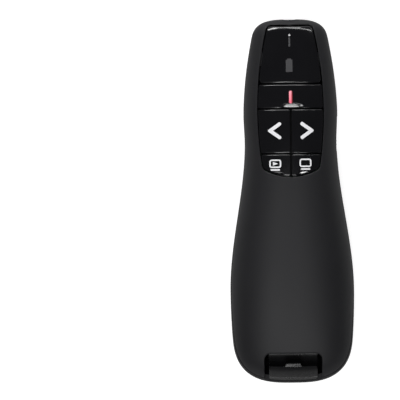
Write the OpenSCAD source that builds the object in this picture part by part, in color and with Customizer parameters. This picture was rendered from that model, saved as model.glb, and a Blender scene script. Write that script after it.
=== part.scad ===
// Wireless presentation clicker.
// +Y points to the laser end, +X to the right, +Z up from the surface that it lies on.

/* [Body] */
// Length of the body from tail to nose
body_len = 115; // [112:0.5:120]
// Width across the grip
grip_w = 39.2; // [38:0.2:42]
// Width at the waist
waist_w = 29.2; // [28.6:0.2:31]
// Width of the head
head_w = 29.8; // [29:0.2:33]
// Width that the sides run to at the nose
nose_w = 21.6; // [20:0.2:24]
// Width that the sides run to at the tail
tail_w = 35.2; // [34:0.2:37]
// Distance of the widest part of the grip from the tail
grip_from_tail = 29.5; // [27:0.5:32]
// Distance of the waist from the nose
waist_from_nose = 39; // [37:0.5:41]
// Distance of the head's widest part from the nose
head_from_nose = 30.5; // [28:0.5:33]
// Length over which the tail is rounded off, seen from above
tail_round = 15.5; // [13:0.5:17]
// Length over which the nose is rounded off, seen from above
nose_round = 6.5; // [5:0.5:8]
// Wall thickness of the case
wall = 1.8; // [1.4:0.1:2]
// Room between the receiver and the inside of the back at its highest point
crown_room = 4.8; // [4.6:0.1:6]
// How far the back falls from its highest point to the tail
tail_fall = 8.2; // [7.8:0.1:8.6]
// Length over which the back falls to the tail
tail_fall_len = 55.5; // [54:0.5:58]
// How far the back falls from its highest point to the nose
nose_fall = 9.1; // [8.5:0.1:9.5]
// Length over which the back falls to the nose
nose_fall_len = 59.5; // [57:0.5:61]
// How far the underside rises at the nose
nose_lift = 8.2; // [7:0.1:8.6]
// Length over which the underside rises to the nose
nose_lift_len = 62.5; // [60:0.5:64]
// How far the underside rises at the tail
tail_lift = 5; // [3:0.1:6]
// Length over which the underside rises to the tail
tail_lift_len = 17.5; // [15:0.5:19]
// Depth that the flat of the belly takes off the round underside
belly_flat = 1.2; // [0.8:0.1:1.6]
// Height of the widest line of the body
equator_z = 10; // [9.4:0.1:10.6]
// Height of the joint between the two case halves at the tail
seam_tail_z = 15; // [14.4:0.1:15.6]
// Height of the joint between the two case halves at the nose
seam_nose_z = 12; // [11.8:0.1:12.4]
// Width of the shadow gap between the two case halves
seam_gap = 0.2; // [0.1:0.05:0.3]

/* [Keypad] */
// Widest width of the keypad opening
keypad_w = 20.6; // [19.6:0.1:21]
// Radius of the keypad's bowed sides
keypad_side_r = 114; // [100:1:130]
// Distance of the keypad's top edge from the nose
keypad_from_nose = 2.2; // [2:0.1:3]
// Length of the keypad down to its lower corners
keypad_len = 44.9; // [44:0.1:45.4]
// How far the bowed lower edge hangs below its corners
keypad_sag = 2.9; // [2:0.1:3.2]
// Radius of the keypad's corners
keypad_corner = 1.9; // [1.2:0.1:2.4]
// Length of the display panel
panel_len = 18.6; // [18:0.1:19]
// Length of the laser key
laser_key_len = 7.7; // [7:0.1:8]
// Length of the two arrow keys
arrow_key_len = 14.1; // [13.4:0.1:14.4]
// Gap around each key
key_gap = 0.45; // [0.3:0.05:0.6]
// Thickness of the key caps
key_t = 1.6; // [1.2:0.1:1.8]
// Depth of the keys below the back of the case
key_sink = 0.15; // [0.05:0.05:0.3]
// Travel of the keys
key_travel = 0.5; // [0.3:0.05:0.6]
// Thickness of the frame under the keys
frame_t = 1; // [0.8:0.1:1.2]
// Diameter of the key stems
stem_d = 2.4; // [2:0.1:2.8]
// Radial clearance of sliding pieces
slide_fit = 0.1; // [0.08:0.01:0.1]

/* [Power] */
// Diameter of a AAA cell
cell_d = 10.5; // [10:0.1:10.7]
// Length of a AAA cell with its button
cell_len = 44.5; // [44:0.1:45]
// Gap between the two cells
cell_gap = 0.4; // [0.2:0.1:0.8]
// Room left for each contact spring
spring_room = 2.9; // [2.5:0.1:3.3]
// Wire diameter of the contact springs
spring_wire = 0.5; // [0.4:0.05:0.6]
// Thickness of the contact plates
plate_t = 0.4; // [0.3:0.05:0.5]
// Distance of the battery door from the tail
door_from_tail = 11.9; // [11.5:0.1:12.5]
// Width of the battery door
door_w = 23; // [22:0.2:23.6]
// Thickness of the battery door
door_t = 1.6; // [1.4:0.1:1.7]
// Gap around the battery door
door_gap = 0.15; // [0.1:0.05:0.25]
// Distance of the power switch from the nose
switch_from_nose = 36.5; // [36:0.5:38]
// Travel of the power switch
switch_travel = 3; // [2.5:0.1:3.2]
// Length of the power switch's grip
knob_len = 5; // [4.5:0.1:5.5]
// Height of the power switch's grip
knob_h = 3.4; // [3:0.1:3.6]

/* [Receiver] */
// Width of the receiver's cap
receiver_w = 15.3; // [14.6:0.1:15.6]
// Thickness of the receiver's cap
receiver_t = 6.3; // [6.1:0.1:6.5]
// Length of the receiver's cap
receiver_cap_len = 19.5; // [18:0.1:21]
// Width of the USB plug
plug_w = 12; // [11.9:0.1:12.1]
// Thickness of the USB plug
plug_t = 4.5; // [4.4:0.1:4.6]
// Length of the USB plug
plug_len = 18.8; // [18:0.1:19]
// Width of the notch that the receiver's end shows in
notch_w = 18.2; // [18:0.1:18.6]
// Length of the notch
notch_len = 9.8; // [9:0.1:10.4]
// Radius of the finger dip in the receiver
dip_r = 4.2; // [3.8:0.1:4.3]

/* [Electronics] */
// Thickness of the main board
board_t = 1.2; // [1:0.1:1.4]
// Width of the main board
board_w = 18.8; // [18.4:0.1:19.2]
// Height of the posts that carry the main board's tail end
board_post_h = 2.4; // [2.2:0.1:2.6]
// Side of a key switch's square housing
tact_w = 4.4; // [4:0.1:4.8]
// Height of a key switch's housing
tact_h = 2.6; // [2.4:0.1:2.7]
// Diameter of a key switch's plunger
plunger_d = 1.8; // [1.6:0.1:2]
// Diameter of the laser's brass barrel
barrel_d = 6; // [5.6:0.1:6.2]
// Length of the laser's barrel
barrel_len = 14; // [13:0.5:15]
// Diameter of the laser window in the nose
window_d = 4.4; // [4:0.1:4.8]

/* [Screws] */
// Shank diameter of the case screws
case_screw_d = 2; // [1.7:0.1:2.2]
// Diameter of the bosses that take the case screws
boss_d = 4.2; // [4:0.1:4.4]
// Shank diameter of the board screws
board_screw_d = 1.6; // [1.4:0.1:1.7]

/* [Hidden] */
$fn = 48;

// Landmarks along the length
tail_y = -body_len / 2;
nose_y = body_len / 2;
grip_y = tail_y + grip_from_tail;
waist_y = nose_y - waist_from_nose;
head_y = nose_y - head_from_nose;

// Lengths over which the back and the belly round off into the ends
tail_edge = 7;
nose_edge = 4;

// How full each curve is: 2 is an ellipse, more is squarer
back_power = 2.6;
belly_power = 2.8;
tail_corner_power = 3;
nose_corner_power = 3.2;
tail_edge_power = 2.2;
nose_edge_power = 2.5;

// How late each taper starts: 1 is straight, more is later
nose_taper_power = 1.8;
tail_fall_power = 3.2;
nose_fall_power = 1.9;
tail_lift_power = 2.2;
nose_lift_power = 1.6;

// Points round a cross-section of the body, cross-sections along it, and its skin left at each end
around = 44;
stations = 34;
end_skin = 0.04;

// Overlap of joined solids, and a length past everything
small = 0.01;
far = 60;

// Heights, stacked up from the battery door
fit_gap = 0.2;
cell_z = door_t + fit_gap + cell_d / 2;
bay_roof_z = cell_z + cell_d / 2 + fit_gap;
bay_roof_t = 1;
bay_top_z = bay_roof_z + bay_roof_t;
receiver_z = bay_top_z + fit_gap;
crown_z = receiver_z + receiver_t + crown_room + wall;
board_z = bay_top_z + board_post_h;
board_top_z = board_z + board_t;
tact_top_z = board_top_z + tact_h;
plunger_stroke_room = 0.7;
plunger_top_z = tact_top_z + plunger_stroke_room;

// Outline of the body and the heights of its back and belly, all set in by o
function ease(t) = let (u = min(1, max(0, t))) u * u * (3 - 2 * u);
function cap(s, n) = let (u = min(1, max(0, s))) pow(1 - pow(u, n), 1 / n);
function ends(y, o, tail_r, nose_r, tail_n, nose_n) =
  cap((tail_y + tail_r - y) / (tail_r - o), tail_n) * cap((y - nose_y + nose_r) / (nose_r - o), nose_n);
function side(y) =
  y < grip_y ? grip_w / 2 - (grip_w - tail_w) / 2 * pow((grip_y - y) / grip_from_tail, 2)
  : y < waist_y ? grip_w / 2 - (grip_w - waist_w) / 2 * ease((y - grip_y) / (waist_y - grip_y))
  : y < head_y ? waist_w / 2 + (head_w - waist_w) / 2 * ease((y - waist_y) / (head_y - waist_y))
  : head_w / 2 - (head_w - nose_w) / 2 * pow((y - head_y) / head_from_nose, nose_taper_power);
function half_width(y, o = 0) =
  (side(y) - o) * ends(y, o, tail_round, nose_round, tail_corner_power, nose_corner_power);
function near_tail(y, length, p) = pow(max(0, 1 - (y - tail_y) / length), p);
function near_nose(y, length, p) = pow(max(0, 1 - (nose_y - y) / length), p);
function back(y) = crown_z - tail_fall * near_tail(y, tail_fall_len, tail_fall_power)
  - nose_fall * near_nose(y, nose_fall_len, nose_fall_power);
function belly(y) = tail_lift * near_tail(y, tail_lift_len, tail_lift_power)
  + nose_lift * near_nose(y, nose_lift_len, nose_lift_power) - belly_flat;
function edge(y, o) = ends(y, o, tail_edge, nose_edge, tail_edge_power, nose_edge_power);
function rise(y, o = 0) = (back(y) - equator_z - o) * edge(y, o);
function drop(y, o = 0) = (equator_z - belly(y) - o) * edge(y, o);
function arch(x, w, p) = pow(max(0, 1 - pow(min(1, abs(x) / w), p)), 1 / p);
function back_z(x, y) = equator_z + rise(y) * arch(x, half_width(y), back_power);
function belly_z(x, y) = max(0, equator_z - drop(y) * arch(x, half_width(y), belly_power));
function seam_z(y) = seam_tail_z + (seam_nose_z - seam_tail_z) * (y - tail_y) / body_len;

// One closed cross-section of the body at y, set in by o and no lower than floor_z
function section(y, o, floor_z) = [for (k = [0 : around - 1])
  let (c = cos(360 * k / around), s = sin(360 * k / around), p = s < 0 ? belly_power : back_power,
    h = s < 0 ? -drop(y, o) : rise(y, o))
  [half_width(y, o) * sign(c) * pow(abs(c), 2 / p), y, max(floor_z, equator_z + h * pow(abs(s), 2 / p))]];

// A solid through a row of closed rings that have equally many points
module loft(rings) {
  n = len(rings[0]);
  m = len(rings);
  polyhedron(points = [for (r = rings) each r], convexity = 8, faces = concat(
    [[for (k = [n - 1 : -1 : 0]) k]],
    [[for (k = [0 : n - 1]) (m - 1) * n + k]],
    [for (i = [0 : m - 2], k = [0 : n - 1]) let (a = i * n + k, b = i * n + (k + 1) % n)
      each [[a, b, a + n], [b, b + n, a + n]]]));
}

// The whole body set in by o, between two places along its length
module body_solid(o = 0, floor_z = -far, from_y = tail_y, to_y = nose_y, steps = stations) {
  low = max(from_y, tail_y + o + end_skin);
  high = min(to_y, nose_y - o - end_skin);
  loft([for (i = [0 : steps]) let (u = cos(180 * i / steps))
    section((low + high) / 2 - (high - low) / 2 * u, o, floor_z)]);
}

// Everything above the joint between the case halves, or all below it with above = -1
module seam_side(above, gap = 0) {
  lean = atan((seam_nose_z - seam_tail_z) / body_len);
  translate([0, tail_y, seam_tail_z + above * gap / 2]) rotate([lean, 0, 0])
    translate([-far, -far, above > 0 ? 0 : -far]) cube([2 * far, body_len + 2 * far, far]);
}

// A slab that follows the back of the case, between two depths below it
module back_slab(x0, x1, y0, y1, top, bottom, nx = 12, ny = 8) {
  function at_x(i) = x0 + (x1 - x0) * i / nx;
  loft([for (j = [0 : ny]) let (y = y0 + (y1 - y0) * j / ny) concat(
    [for (i = [nx : -1 : 0]) [at_x(i), y, back_z(at_x(i), y) - top]],
    [for (i = [0 : nx]) [at_x(i), y, back_z(at_x(i), y) - bottom]])]);
}

// Keypad layout
keypad_top_y = nose_y - keypad_from_nose;
keypad_low_y = keypad_top_y - keypad_len;
keypad_widest = 28.3;
keypad_mid_y = keypad_top_y - keypad_widest;
panel_low_y = keypad_top_y - panel_len;
laser_low_y = panel_low_y - laser_key_len;
arrow_low_y = laser_low_y - arrow_key_len;
function keypad_side(y) =
  keypad_w / 2 - keypad_side_r + sqrt(pow(keypad_side_r, 2) - pow(y - keypad_mid_y, 2));

module keypad_outline(grow = 0) {
  low_x = keypad_side(keypad_low_y);
  n = 12;
  function side_y(i) = keypad_low_y + keypad_len * i / n;
  offset(r = keypad_corner) offset(delta = grow - keypad_corner) polygon(concat(
    [for (i = [0 : n]) [keypad_side(side_y(i)), side_y(i)]],
    [for (i = [n : -1 : 0]) [-keypad_side(side_y(i)), side_y(i)]],
    [for (i = [1 : n - 1]) let (u = 2 * i / n - 1) [low_x * u, keypad_low_y - keypad_sag * (1 - u * u)]]));
}

// One key's outline: the part of the keypad between two sides and two ends
module key_outline(x0, x1, y0, y1) {
  key_corner = 0.5;
  offset(r = key_corner) offset(delta = -key_corner) intersection() {
    keypad_outline(-key_gap);
    translate([x0 + key_gap / 2, y0 + key_gap / 2]) square([x1 - x0 - key_gap, y1 - y0 - key_gap]);
  }
}

// Where each key's stem and switch stand
laser_at = [0, laser_low_y + laser_key_len / 2];
arrow_stem_x = 5;
arrow_at = [arrow_stem_x, laser_low_y - arrow_key_len / 2];
lower_stem_x = 4.7;
lower_stem_drop = 3.2;
lower_at = [lower_stem_x, arrow_low_y - lower_stem_drop];
stem_places = [laser_at, [-arrow_at.x, arrow_at.y], arrow_at, [-lower_at.x, lower_at.y], lower_at];

// A key cap that follows the back, with the stem that reaches its switch
module key_cap(x0, x1, y0, y1, at) {
  stem_bite = 0.4;
  stem_end_z = back_z(at.x, at.y) - key_sink - key_t + stem_bite;
  union() {
    intersection() {
      back_slab(x0, x1, y0, y1, key_sink, key_sink + key_t);
      linear_extrude(far) key_outline(x0, x1, y0, y1);
    }
    translate([at.x, at.y, plunger_top_z]) cylinder(d = stem_d, h = stem_end_z - plunger_top_z);
  }
}

// Laser module in the nose
barrel_lift = 1.8;
barrel_z = equator_z + barrel_lift;
bezel_wall = 0.8;
bezel_d = window_d + 2 * bezel_wall;
bezel_len = wall + bezel_wall;
bezel_sink = 0.2;
bezel_y = nose_y - bezel_sink - bezel_len;
barrel_y = bezel_y - 2 * fit_gap - barrel_len;
bore_fit = 0.1;

// Power switch in the right side of the waist
switch_y = nose_y - switch_from_nose;
knob_rest_y = switch_y - switch_travel / 2;
knob_plate_t = 1;
knob_x = waist_w / 2 - wall - 3 * fit_gap;
slot_lift = 0.4;
slot_z = equator_z + slot_lift;
slot_h = knob_h + 2 * fit_gap;
slot_len = knob_len + switch_travel + 2 * fit_gap;
lever_t = 1.2;
lever_w = 1.6;
lever_root = 0.9;
lever_fit = 0.05;
power_w = 3.4;
power_len = 7.2;
power_h = 3.5;
lever_z = board_z - power_h / 2 - lever_t / 2;

module nose_hole() {
  translate([0, nose_y - far / 2, barrel_z]) rotate([-90, 0, 0]) cylinder(d = bezel_d + bore_fit, h = far);
}

// Tail notch through both case halves, where the receiver slides out
module receiver_notch() {
  notch_corner = 2;
  low_z = receiver_z - receiver_gap;
  translate([0, 0, low_z]) linear_extrude(far) hull() {
    translate([-notch_w / 2, tail_y - far]) square([notch_w, far]);
    for (s = [-1, 1])
      translate([s * (notch_w / 2 - notch_corner), tail_y + notch_len - notch_corner])
        circle(r = notch_corner, $fn = 24);
  }
}

// Screw places: two at the tail, two at the nose, and four for the board
tail_screw_x = 11.5;
tail_screw_from_tail = 7;
nose_screw_x = 9.3;
nose_screw_from_nose = 12.5;
case_screw_at = [[tail_screw_x, tail_y + tail_screw_from_tail],
  [nose_screw_x, nose_y - nose_screw_from_nose]];
case_screw_head_z = [4.6, 8.4];
board_front_x = 6.9;
board_front_from_top = 21.8;
board_front_at = [board_front_x, keypad_top_y - board_front_from_top];
board_rear_x = 7.6;
board_rear_from_tail = 54;
board_rear_at = [board_rear_x, tail_y + board_rear_from_tail];
board_screw_grip = 4;
pilot_fit = 0.05;
post_d = 3.6;
boss_bury = 0.6;
screw_roof = 0.8;
function boss_top(p) = back_z(p.x + boss_d / 2, p.y) - boss_bury;
function boss_low(p) = belly_z(p.x, p.y) + boss_bury;
function pilot_top(i) = boss_top(case_screw_at[i]) - screw_roof;

// Height above which the keypad opening is cut through the back
keypad_cut_z = seam_nose_z + 0.5;

module top_shell() color("#26262a") difference() {
  union() {
    difference() {
      intersection() {
        difference() {
          body_solid();
          body_solid(wall, wall);
        }
        seam_side(1, seam_gap);
      }
      translate([0, 0, keypad_cut_z]) linear_extrude(far) keypad_outline();
      receiver_notch();
    }
    for (p = case_screw_at, s = [-1, 1]) translate([s * p.x, p.y, seam_z(p.y) + seam_gap])
      cylinder(d = boss_d, h = boss_top(p) - seam_z(p.y) - seam_gap);
  }
  nose_hole();
  for (i = [0, 1], s = [-1, 1]) let (p = case_screw_at[i]) translate([s * p.x, p.y, 0])
    cylinder(d = case_screw_d + pilot_fit, h = pilot_top(i));
}

// Battery bay, and the door of the same length under it
bay_len = cell_len + spring_room + 2 * plate_t;
bay_tail_y = tail_y + door_from_tail;
bay_nose_y = bay_tail_y + bay_len;

module door_outline(inset = 0) {
  door_corner = 1.5;
  translate([-door_w / 2 + inset, bay_tail_y + inset]) offset(r = door_corner) offset(delta = -door_corner)
    square([door_w - 2 * inset, bay_len - 2 * inset]);
}

// Round-bottomed notch across the part at y, for a fingernail or a grip
module nail_notch(y, below, r, w) translate([0, y, -below]) rotate([0, 90, 0])
  cylinder(r = r, h = w, center = true, $fn = 32);

module bottom_shell() color("#1d1d20") difference() {
  union() {
    difference() {
      intersection() {
        difference() {
          body_solid();
          body_solid(wall, wall);
        }
        seam_side(-1, seam_gap);
      }
      translate([-far, -far, -far]) cube([2 * far, 2 * far, far]);
      translate([0, 0, -1]) linear_extrude(equator_z) door_outline();
      receiver_notch();
    }
    for (p = case_screw_at, s = [-1, 1]) translate([s * p.x, p.y, boss_low(p)])
      cylinder(d = boss_d, h = seam_z(p.y) - seam_gap - boss_low(p));
    for (s = [-1, 1]) translate([s * board_front_at.x, board_front_at.y, boss_low(board_front_at)])
      cylinder(d = post_d, h = board_z - boss_low(board_front_at));
    for (end = [cradle_inset, barrel_len - cradle_inset]) cradle(barrel_y + end);
  }
  nose_hole();
  for (i = [0, 1], s = [-1, 1]) let (p = case_screw_at[i]) translate([s * p.x, p.y, 0]) {
    translate([0, 0, -wall]) cylinder(d = 2 * case_screw_d + 2 * screw_fit, h = case_screw_head_z[i] + wall);
    cylinder(d = case_screw_d + screw_fit, h = far / 2);
  }
  for (s = [-1, 1]) translate([s * board_front_at.x, board_front_at.y, board_z - board_screw_grip])
    cylinder(d = board_screw_d + pilot_fit, h = board_screw_grip + wall);
  translate([0, switch_y - slot_len / 2, slot_z - slot_h / 2]) cube([far, slot_len, slot_h]);
  translate([waist_w / 2 - recess_depth, switch_y, slot_z]) rotate([90, 0, 90]) linear_extrude(far)
    polygon([for (p = [[-1, -1], [1, -1], [1, 1], [-1, 1]])
      [p.x * (slot_len / 2 + (p.y < 0 ? recess_low : recess_high)), p.y * (slot_h / 2 + recess_rim)]]);
  nail_notch(bay_tail_y - 1, nail_below, nail_r, nail_w);
}
screw_fit = 0.15;

// Recess round the power switch's slot: wider below than above, and a rim above and below the slot
recess_depth = 0.5;
recess_low = 1.6;
recess_high = 0.8;
recess_rim = 0.5;

// Fingernail notch in front of the battery door
nail_below = 1.6;
nail_r = 2.4;
nail_w = 9;

// Rib with a round seat that carries the laser barrel, set in from each end of it
cradle_inset = 3;
module cradle(y) {
  rib_t = 1.2;
  rib_w = barrel_d + 2;
  low_z = belly_z(0, y) + boss_bury;
  difference() {
    translate([-rib_w / 2, y - rib_t / 2, low_z]) cube([rib_w, rib_t, barrel_z - fit_gap - low_z]);
    translate([0, y - far / 2, barrel_z]) rotate([-90, 0, 0]) cylinder(d = barrel_d + bore_fit, h = far);
  }
}

module display_panel() color("#101013") intersection() {
  back_slab(-keypad_w / 2, keypad_w / 2, panel_low_y, keypad_top_y, key_sink, key_sink + key_t + key_travel);
  linear_extrude(far) key_outline(-keypad_w / 2, keypad_w / 2, panel_low_y, keypad_top_y);
}

// Frame under the keys, which guides their stems and stands on the board
module key_frame() color("#161618") {
  frame_gap = 0.25;
  frame_top = key_sink + key_t + key_travel + frame_gap;
  under_panel = 3;
  frame_end_y = panel_low_y + under_panel;
  leg_d = 1.6;
  leg_x = board_w / 2 - leg_d / 2;
  pocket_w = tact_w + 3 * fit_gap;
  difference() {
    union() {
      intersection() {
        back_slab(-keypad_w / 2, keypad_w / 2, keypad_low_y - keypad_sag, frame_end_y,
          frame_top, frame_top + frame_t);
        linear_extrude(far) key_outline(-keypad_w / 2, keypad_w / 2, 0, frame_end_y);
      }
      for (s = [-1, 1], y = [laser_low_y, arrow_low_y]) translate([s * leg_x, y, board_top_z])
        cylinder(d = leg_d, h = back_z(leg_x, y) - frame_top - frame_t / 2 - board_top_z);
    }
    for (p = stem_places) translate([p.x, p.y, 0]) {
      cylinder(d = stem_d + 2 * slide_fit, h = far);
      translate([-pocket_w / 2, -pocket_w / 2, 0]) cube([pocket_w, pocket_w, tact_top_z + fit_gap]);
    }
  }
}

// The door swings about a line just inside its nose edge, where its tab hooks over the case's floor
module battery_door() color("#1d1d20") {
  n = 12;
  tab_w = 2.6;
  tab_t = 0.8;
  tab_reach = 2;
  tab_root = 1.2;
  tab_z = wall + fit_gap + small;
  tab_y = bay_nose_y - door_gap - tab_root;
  latch = [5, 0.9, 1.9];
  groove_n = 5;
  groove_r = 0.75;
  groove_below = 0.6;
  groove_w = 8;
  groove_pitch = 1.2;
  groove_start = 3;
  xs = [for (i = [0 : n]) door_w * (i / n - 0.5)];
  difference() {
    union() {
      intersection() {
        loft([for (j = [0 : n]) let (y = bay_tail_y + bay_len * j / n) concat(
          [for (i = [n : -1 : 0]) [xs[i], y, belly_z(xs[i], y) + door_t]],
          [for (x = xs) [x, y, belly_z(x, y)]])]);
        translate([0, 0, -small]) linear_extrude(far) door_outline(door_gap);
      }
      translate([-tab_w / 2, tab_y, door_t - small]) cube([tab_w, tab_root, tab_z + tab_t - door_t + small]);
      translate([-tab_w / 2, tab_y, tab_z]) cube([tab_w, tab_root + door_gap + tab_reach, tab_t]);
      translate([-latch.x / 2, bay_tail_y + door_gap, door_t - small]) cube(latch);
    }
    for (i = [0 : groove_n - 1])
      nail_notch(bay_tail_y + groove_start + i * groove_pitch, groove_below, groove_r, groove_w);
  }
}

// Moulded chassis: roof and walls round the cells, rails and stop for the receiver, and board posts
chassis_wall = 1.2;
bay_w = 2 * cell_d + cell_gap + 2 * fit_gap;
bay_wall_lift = 3.4;
bay_wall_low_z = door_t + bay_wall_lift;
module chassis() color("#2c2c30") difference() {
  out_w = bay_w + 2 * chassis_wall;
  end_w = bay_w - 3.2;
  rail_t = 1;
  rail_x = receiver_w / 2 + fit_gap;
  rail_top_z = receiver_z + receiver_t - 0.8;
  rail_y = bay_tail_y;
  stop_y = tail_y + receiver_cap_len + plug_len + 2 * fit_gap;
  union() {
    translate([-out_w / 2, bay_tail_y - chassis_wall, bay_roof_z])
      cube([out_w, bay_len + 2 * chassis_wall, bay_roof_t]);
    for (x = [-out_w / 2, bay_w / 2]) translate([x, bay_tail_y - chassis_wall, bay_wall_low_z])
      cube([chassis_wall, bay_len + 2 * chassis_wall, bay_top_z - bay_wall_low_z]);
    for (y = [bay_tail_y - chassis_wall, bay_nose_y]) translate([-end_w / 2, y, bay_wall_low_z])
      cube([end_w, chassis_wall, bay_top_z - bay_wall_low_z]);
    for (x = [-rail_x - rail_t, rail_x]) translate([x, rail_y, bay_top_z - small])
      cube([rail_t, stop_y + rail_t - rail_y, rail_top_z - bay_top_z + small]);
    translate([-rail_x - rail_t, stop_y, bay_top_z - small])
      cube([2 * (rail_x + rail_t), rail_t, rail_top_z - bay_top_z + small]);
    for (s = [-1, 1]) translate([s * board_rear_at.x, board_rear_at.y, bay_top_z - small])
      cylinder(d = post_d, h = board_post_h + small);
  }
  for (s = [-1, 1]) translate([s * board_rear_at.x, board_rear_at.y, board_z - rear_screw_grip - fit_gap])
    cylinder(d = board_screw_d + pilot_fit, h = far);
}
rear_screw_grip = 1.8;

module laser_key() color("#141417")
  key_cap(-keypad_w / 2, keypad_w / 2, laser_low_y, panel_low_y, laser_at);
module previous_key() color("#141417")
  key_cap(-keypad_w / 2, 0, arrow_low_y, laser_low_y, stem_places[1]);
module next_key() color("#141417")
  key_cap(0, keypad_w / 2, arrow_low_y, laser_low_y, stem_places[2]);
module slideshow_key() color("#141417")
  key_cap(-keypad_w / 2, 0, keypad_low_y - keypad_sag - 1, arrow_low_y, stem_places[3]);
module blank_key() color("#141417")
  key_cap(0, keypad_w / 2, keypad_low_y - keypad_sag - 1, arrow_low_y, stem_places[4]);

// A key switch's housing with the bore that its plunger runs in
plunger_depth = 0.9;
module tact_housing(p) color("#d8d8d4") translate([p.x, p.y, board_top_z]) difference() {
  translate([-tact_w / 2, -tact_w / 2, 0]) cube([tact_w, tact_w, tact_h]);
  translate([0, 0, tact_h - plunger_depth - key_travel - fit_gap])
    cylinder(d = plunger_d + 2 * slide_fit, h = far);
}
module tact_plunger(p) color("#3a3a3c") translate([p.x, p.y, tact_top_z - plunger_depth])
  cylinder(d = plunger_d, h = plunger_depth + plunger_stroke_room);

module laser_switch() tact_housing(stem_places[0]);
module previous_switch() tact_housing(stem_places[1]);
module next_switch() tact_housing(stem_places[2]);
module slideshow_switch() tact_housing(stem_places[3]);
module blank_switch() tact_housing(stem_places[4]);
module laser_plunger() tact_plunger(stem_places[0]);
module previous_plunger() tact_plunger(stem_places[1]);
module next_plunger() tact_plunger(stem_places[2]);
module slideshow_plunger() tact_plunger(stem_places[3]);
module blank_plunger() tact_plunger(stem_places[4]);

// Main board: wide under the keys, narrow between the nose screws
board_margin = 2.4;
board_tail_y = board_rear_at.y - board_margin;
board_neck_y = board_front_at.y + board_margin;
board_from_top = 8;
board_nose_y = keypad_top_y - board_from_top;
neck_w = 12;
module main_board() color("#1f6b3a") translate([0, 0, board_z]) difference() {
  union() {
    translate([-board_w / 2, board_tail_y, 0]) cube([board_w, board_neck_y - board_tail_y, board_t]);
    translate([-neck_w / 2, board_neck_y - small, 0])
      cube([neck_w, board_nose_y - board_neck_y + small, board_t]);
  }
  for (p = [board_front_at, board_rear_at], s = [-1, 1]) translate([s * p.x, p.y, -small])
    cylinder(d = board_screw_d + 2 * screw_fit, h = board_t + 2 * small);
}

// A block on the board's top at its middle line or beside it
module on_board(x, y, size) translate([x - size.x / 2, y, board_top_z]) cube(size);

module radio_chip() color("#202022") on_board(0, board_tail_y + 1.2, [4.6, 4.6, 0.9]);
module crystal() color("#c9ccd0") on_board(-arrow_at.x, arrow_at.y + tact_w / 2 + 0.8, [1.4, 2.6, 0.8]);

// Small resistors and capacitors in a row on the board
chip_part_n = 4;
chip_part_pitch = 1.9;
module chip_parts() color("#b98a5a") for (i = [0 : chip_part_n - 1])
  on_board((i - (chip_part_n - 1) / 2) * chip_part_pitch, arrow_low_y - 0.6, [1, 0.5, 0.4]);

// Two lights on the board, and the guide that carries the front one's light on under the panel
light_size = [1.6, 0.8, 0.6];
battery_light_from_top = 12.1;
guide_from_top = 2.2;
module battery_light() color("#e8f2e0") on_board(0, keypad_top_y - battery_light_from_top, light_size);
module signal_light() color("#e8f2e0") on_board(0, board_nose_y - light_size.y, light_size);
module light_guide() color("#dfe6ea") {
  guide_w = 2.4;
  guide_t = 0.4;
  translate([-guide_w / 2, board_nose_y, board_z]) cube([guide_w, board_from_top - guide_from_top, guide_t]);
}

// Laser: a brass barrel with a seat for the diode at its tail end and one for the lens at its nose end
barrel_wall = 0.6;
seat_d = barrel_d - 2 * barrel_wall;
seat_fit = 0.1;
diode_seat = 4;
lens_seat = 2;
lens_t = 1.2;
diode_rim_t = 1.3;
diode_can_t = 1.6;
core_d = barrel_d - 3;
module along_barrel(y) translate([0, y, barrel_z]) rotate([-90, 0, 0]) children();
module laser_barrel() color("#b8925a") along_barrel(barrel_y) difference() {
  cylinder(d = barrel_d, h = barrel_len);
  translate([0, 0, -small]) cylinder(d = seat_d, h = diode_seat + small);
  cylinder(d = core_d, h = barrel_len);
  translate([0, 0, barrel_len - lens_seat]) cylinder(d = seat_d, h = lens_seat + small);
}
module laser_lens() color("#d8e4ee") along_barrel(barrel_y + barrel_len - lens_seat + seat_fit)
  cylinder(d = seat_d - seat_fit, h = lens_t);
module laser_diode() color("#c8a24a") along_barrel(barrel_y + diode_seat - diode_rim_t - seat_fit) {
  cylinder(d = seat_d - seat_fit, h = diode_rim_t);
  translate([0, 0, -diode_can_t]) cylinder(d = core_d, h = diode_can_t + small);
}
laser_board_w = 6.8;
laser_board_t = 1;
laser_board_y = barrel_y - seat_fit - laser_board_t;
module laser_board() color("#1f6b3a")
  translate([-laser_board_w / 2, laser_board_y, barrel_z - laser_board_w / 2])
    cube([laser_board_w, laser_board_t, laser_board_w]);

// Two stiff leads from the laser's small board up to the main board
touch_gap = 0.02;
module laser_leads() color("#c9ccd0") for (s = [-1, 1]) {
  lead_d = 0.6;
  lead_x = 1.3;
  translate([s * lead_x, laser_board_y - lead_d / 2 - touch_gap, barrel_z])
    cylinder(d = lead_d, h = board_z - barrel_z - touch_gap, $fn = 16);
}

module laser_bezel() color("#3c3c40") along_barrel(bezel_y) difference() {
  cylinder(d = bezel_d, h = bezel_len);
  translate([0, 0, -small]) cylinder(d = window_d - 2 * window_ledge, h = far);
  translate([0, 0, bezel_len - window_seat]) cylinder(d = window_d, h = far);
}
window_ledge = 0.5;
window_seat = 0.8;
window_t = 0.5;
module laser_window() color("#5a1014") along_barrel(bezel_y + bezel_len - window_seat)
  cylinder(d = window_d - pilot_fit, h = window_t);

// A AAA cell, its button end towards +Y with way = 1
module cell(x, low_y, way) translate([x, low_y + cell_len / 2, cell_z]) rotate([-90 * way, 0, 0]) {
  button_h = 0.8;
  button_d = 3.8;
  translate([0, 0, -cell_len / 2]) cylinder(d = cell_d, h = cell_len - button_h);
  translate([0, 0, cell_len / 2 - button_h - small]) cylinder(d = button_d, h = button_h + small);
}
cell_x = (cell_d + cell_gap) / 2;
left_cell_y = bay_nose_y - plate_t - cell_len;
right_cell_y = bay_tail_y + plate_t;
module cell_left() color("#b08a3c") cell(-cell_x, left_cell_y, 1);
module cell_right() color("#b08a3c") cell(cell_x, right_cell_y, -1);

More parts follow.
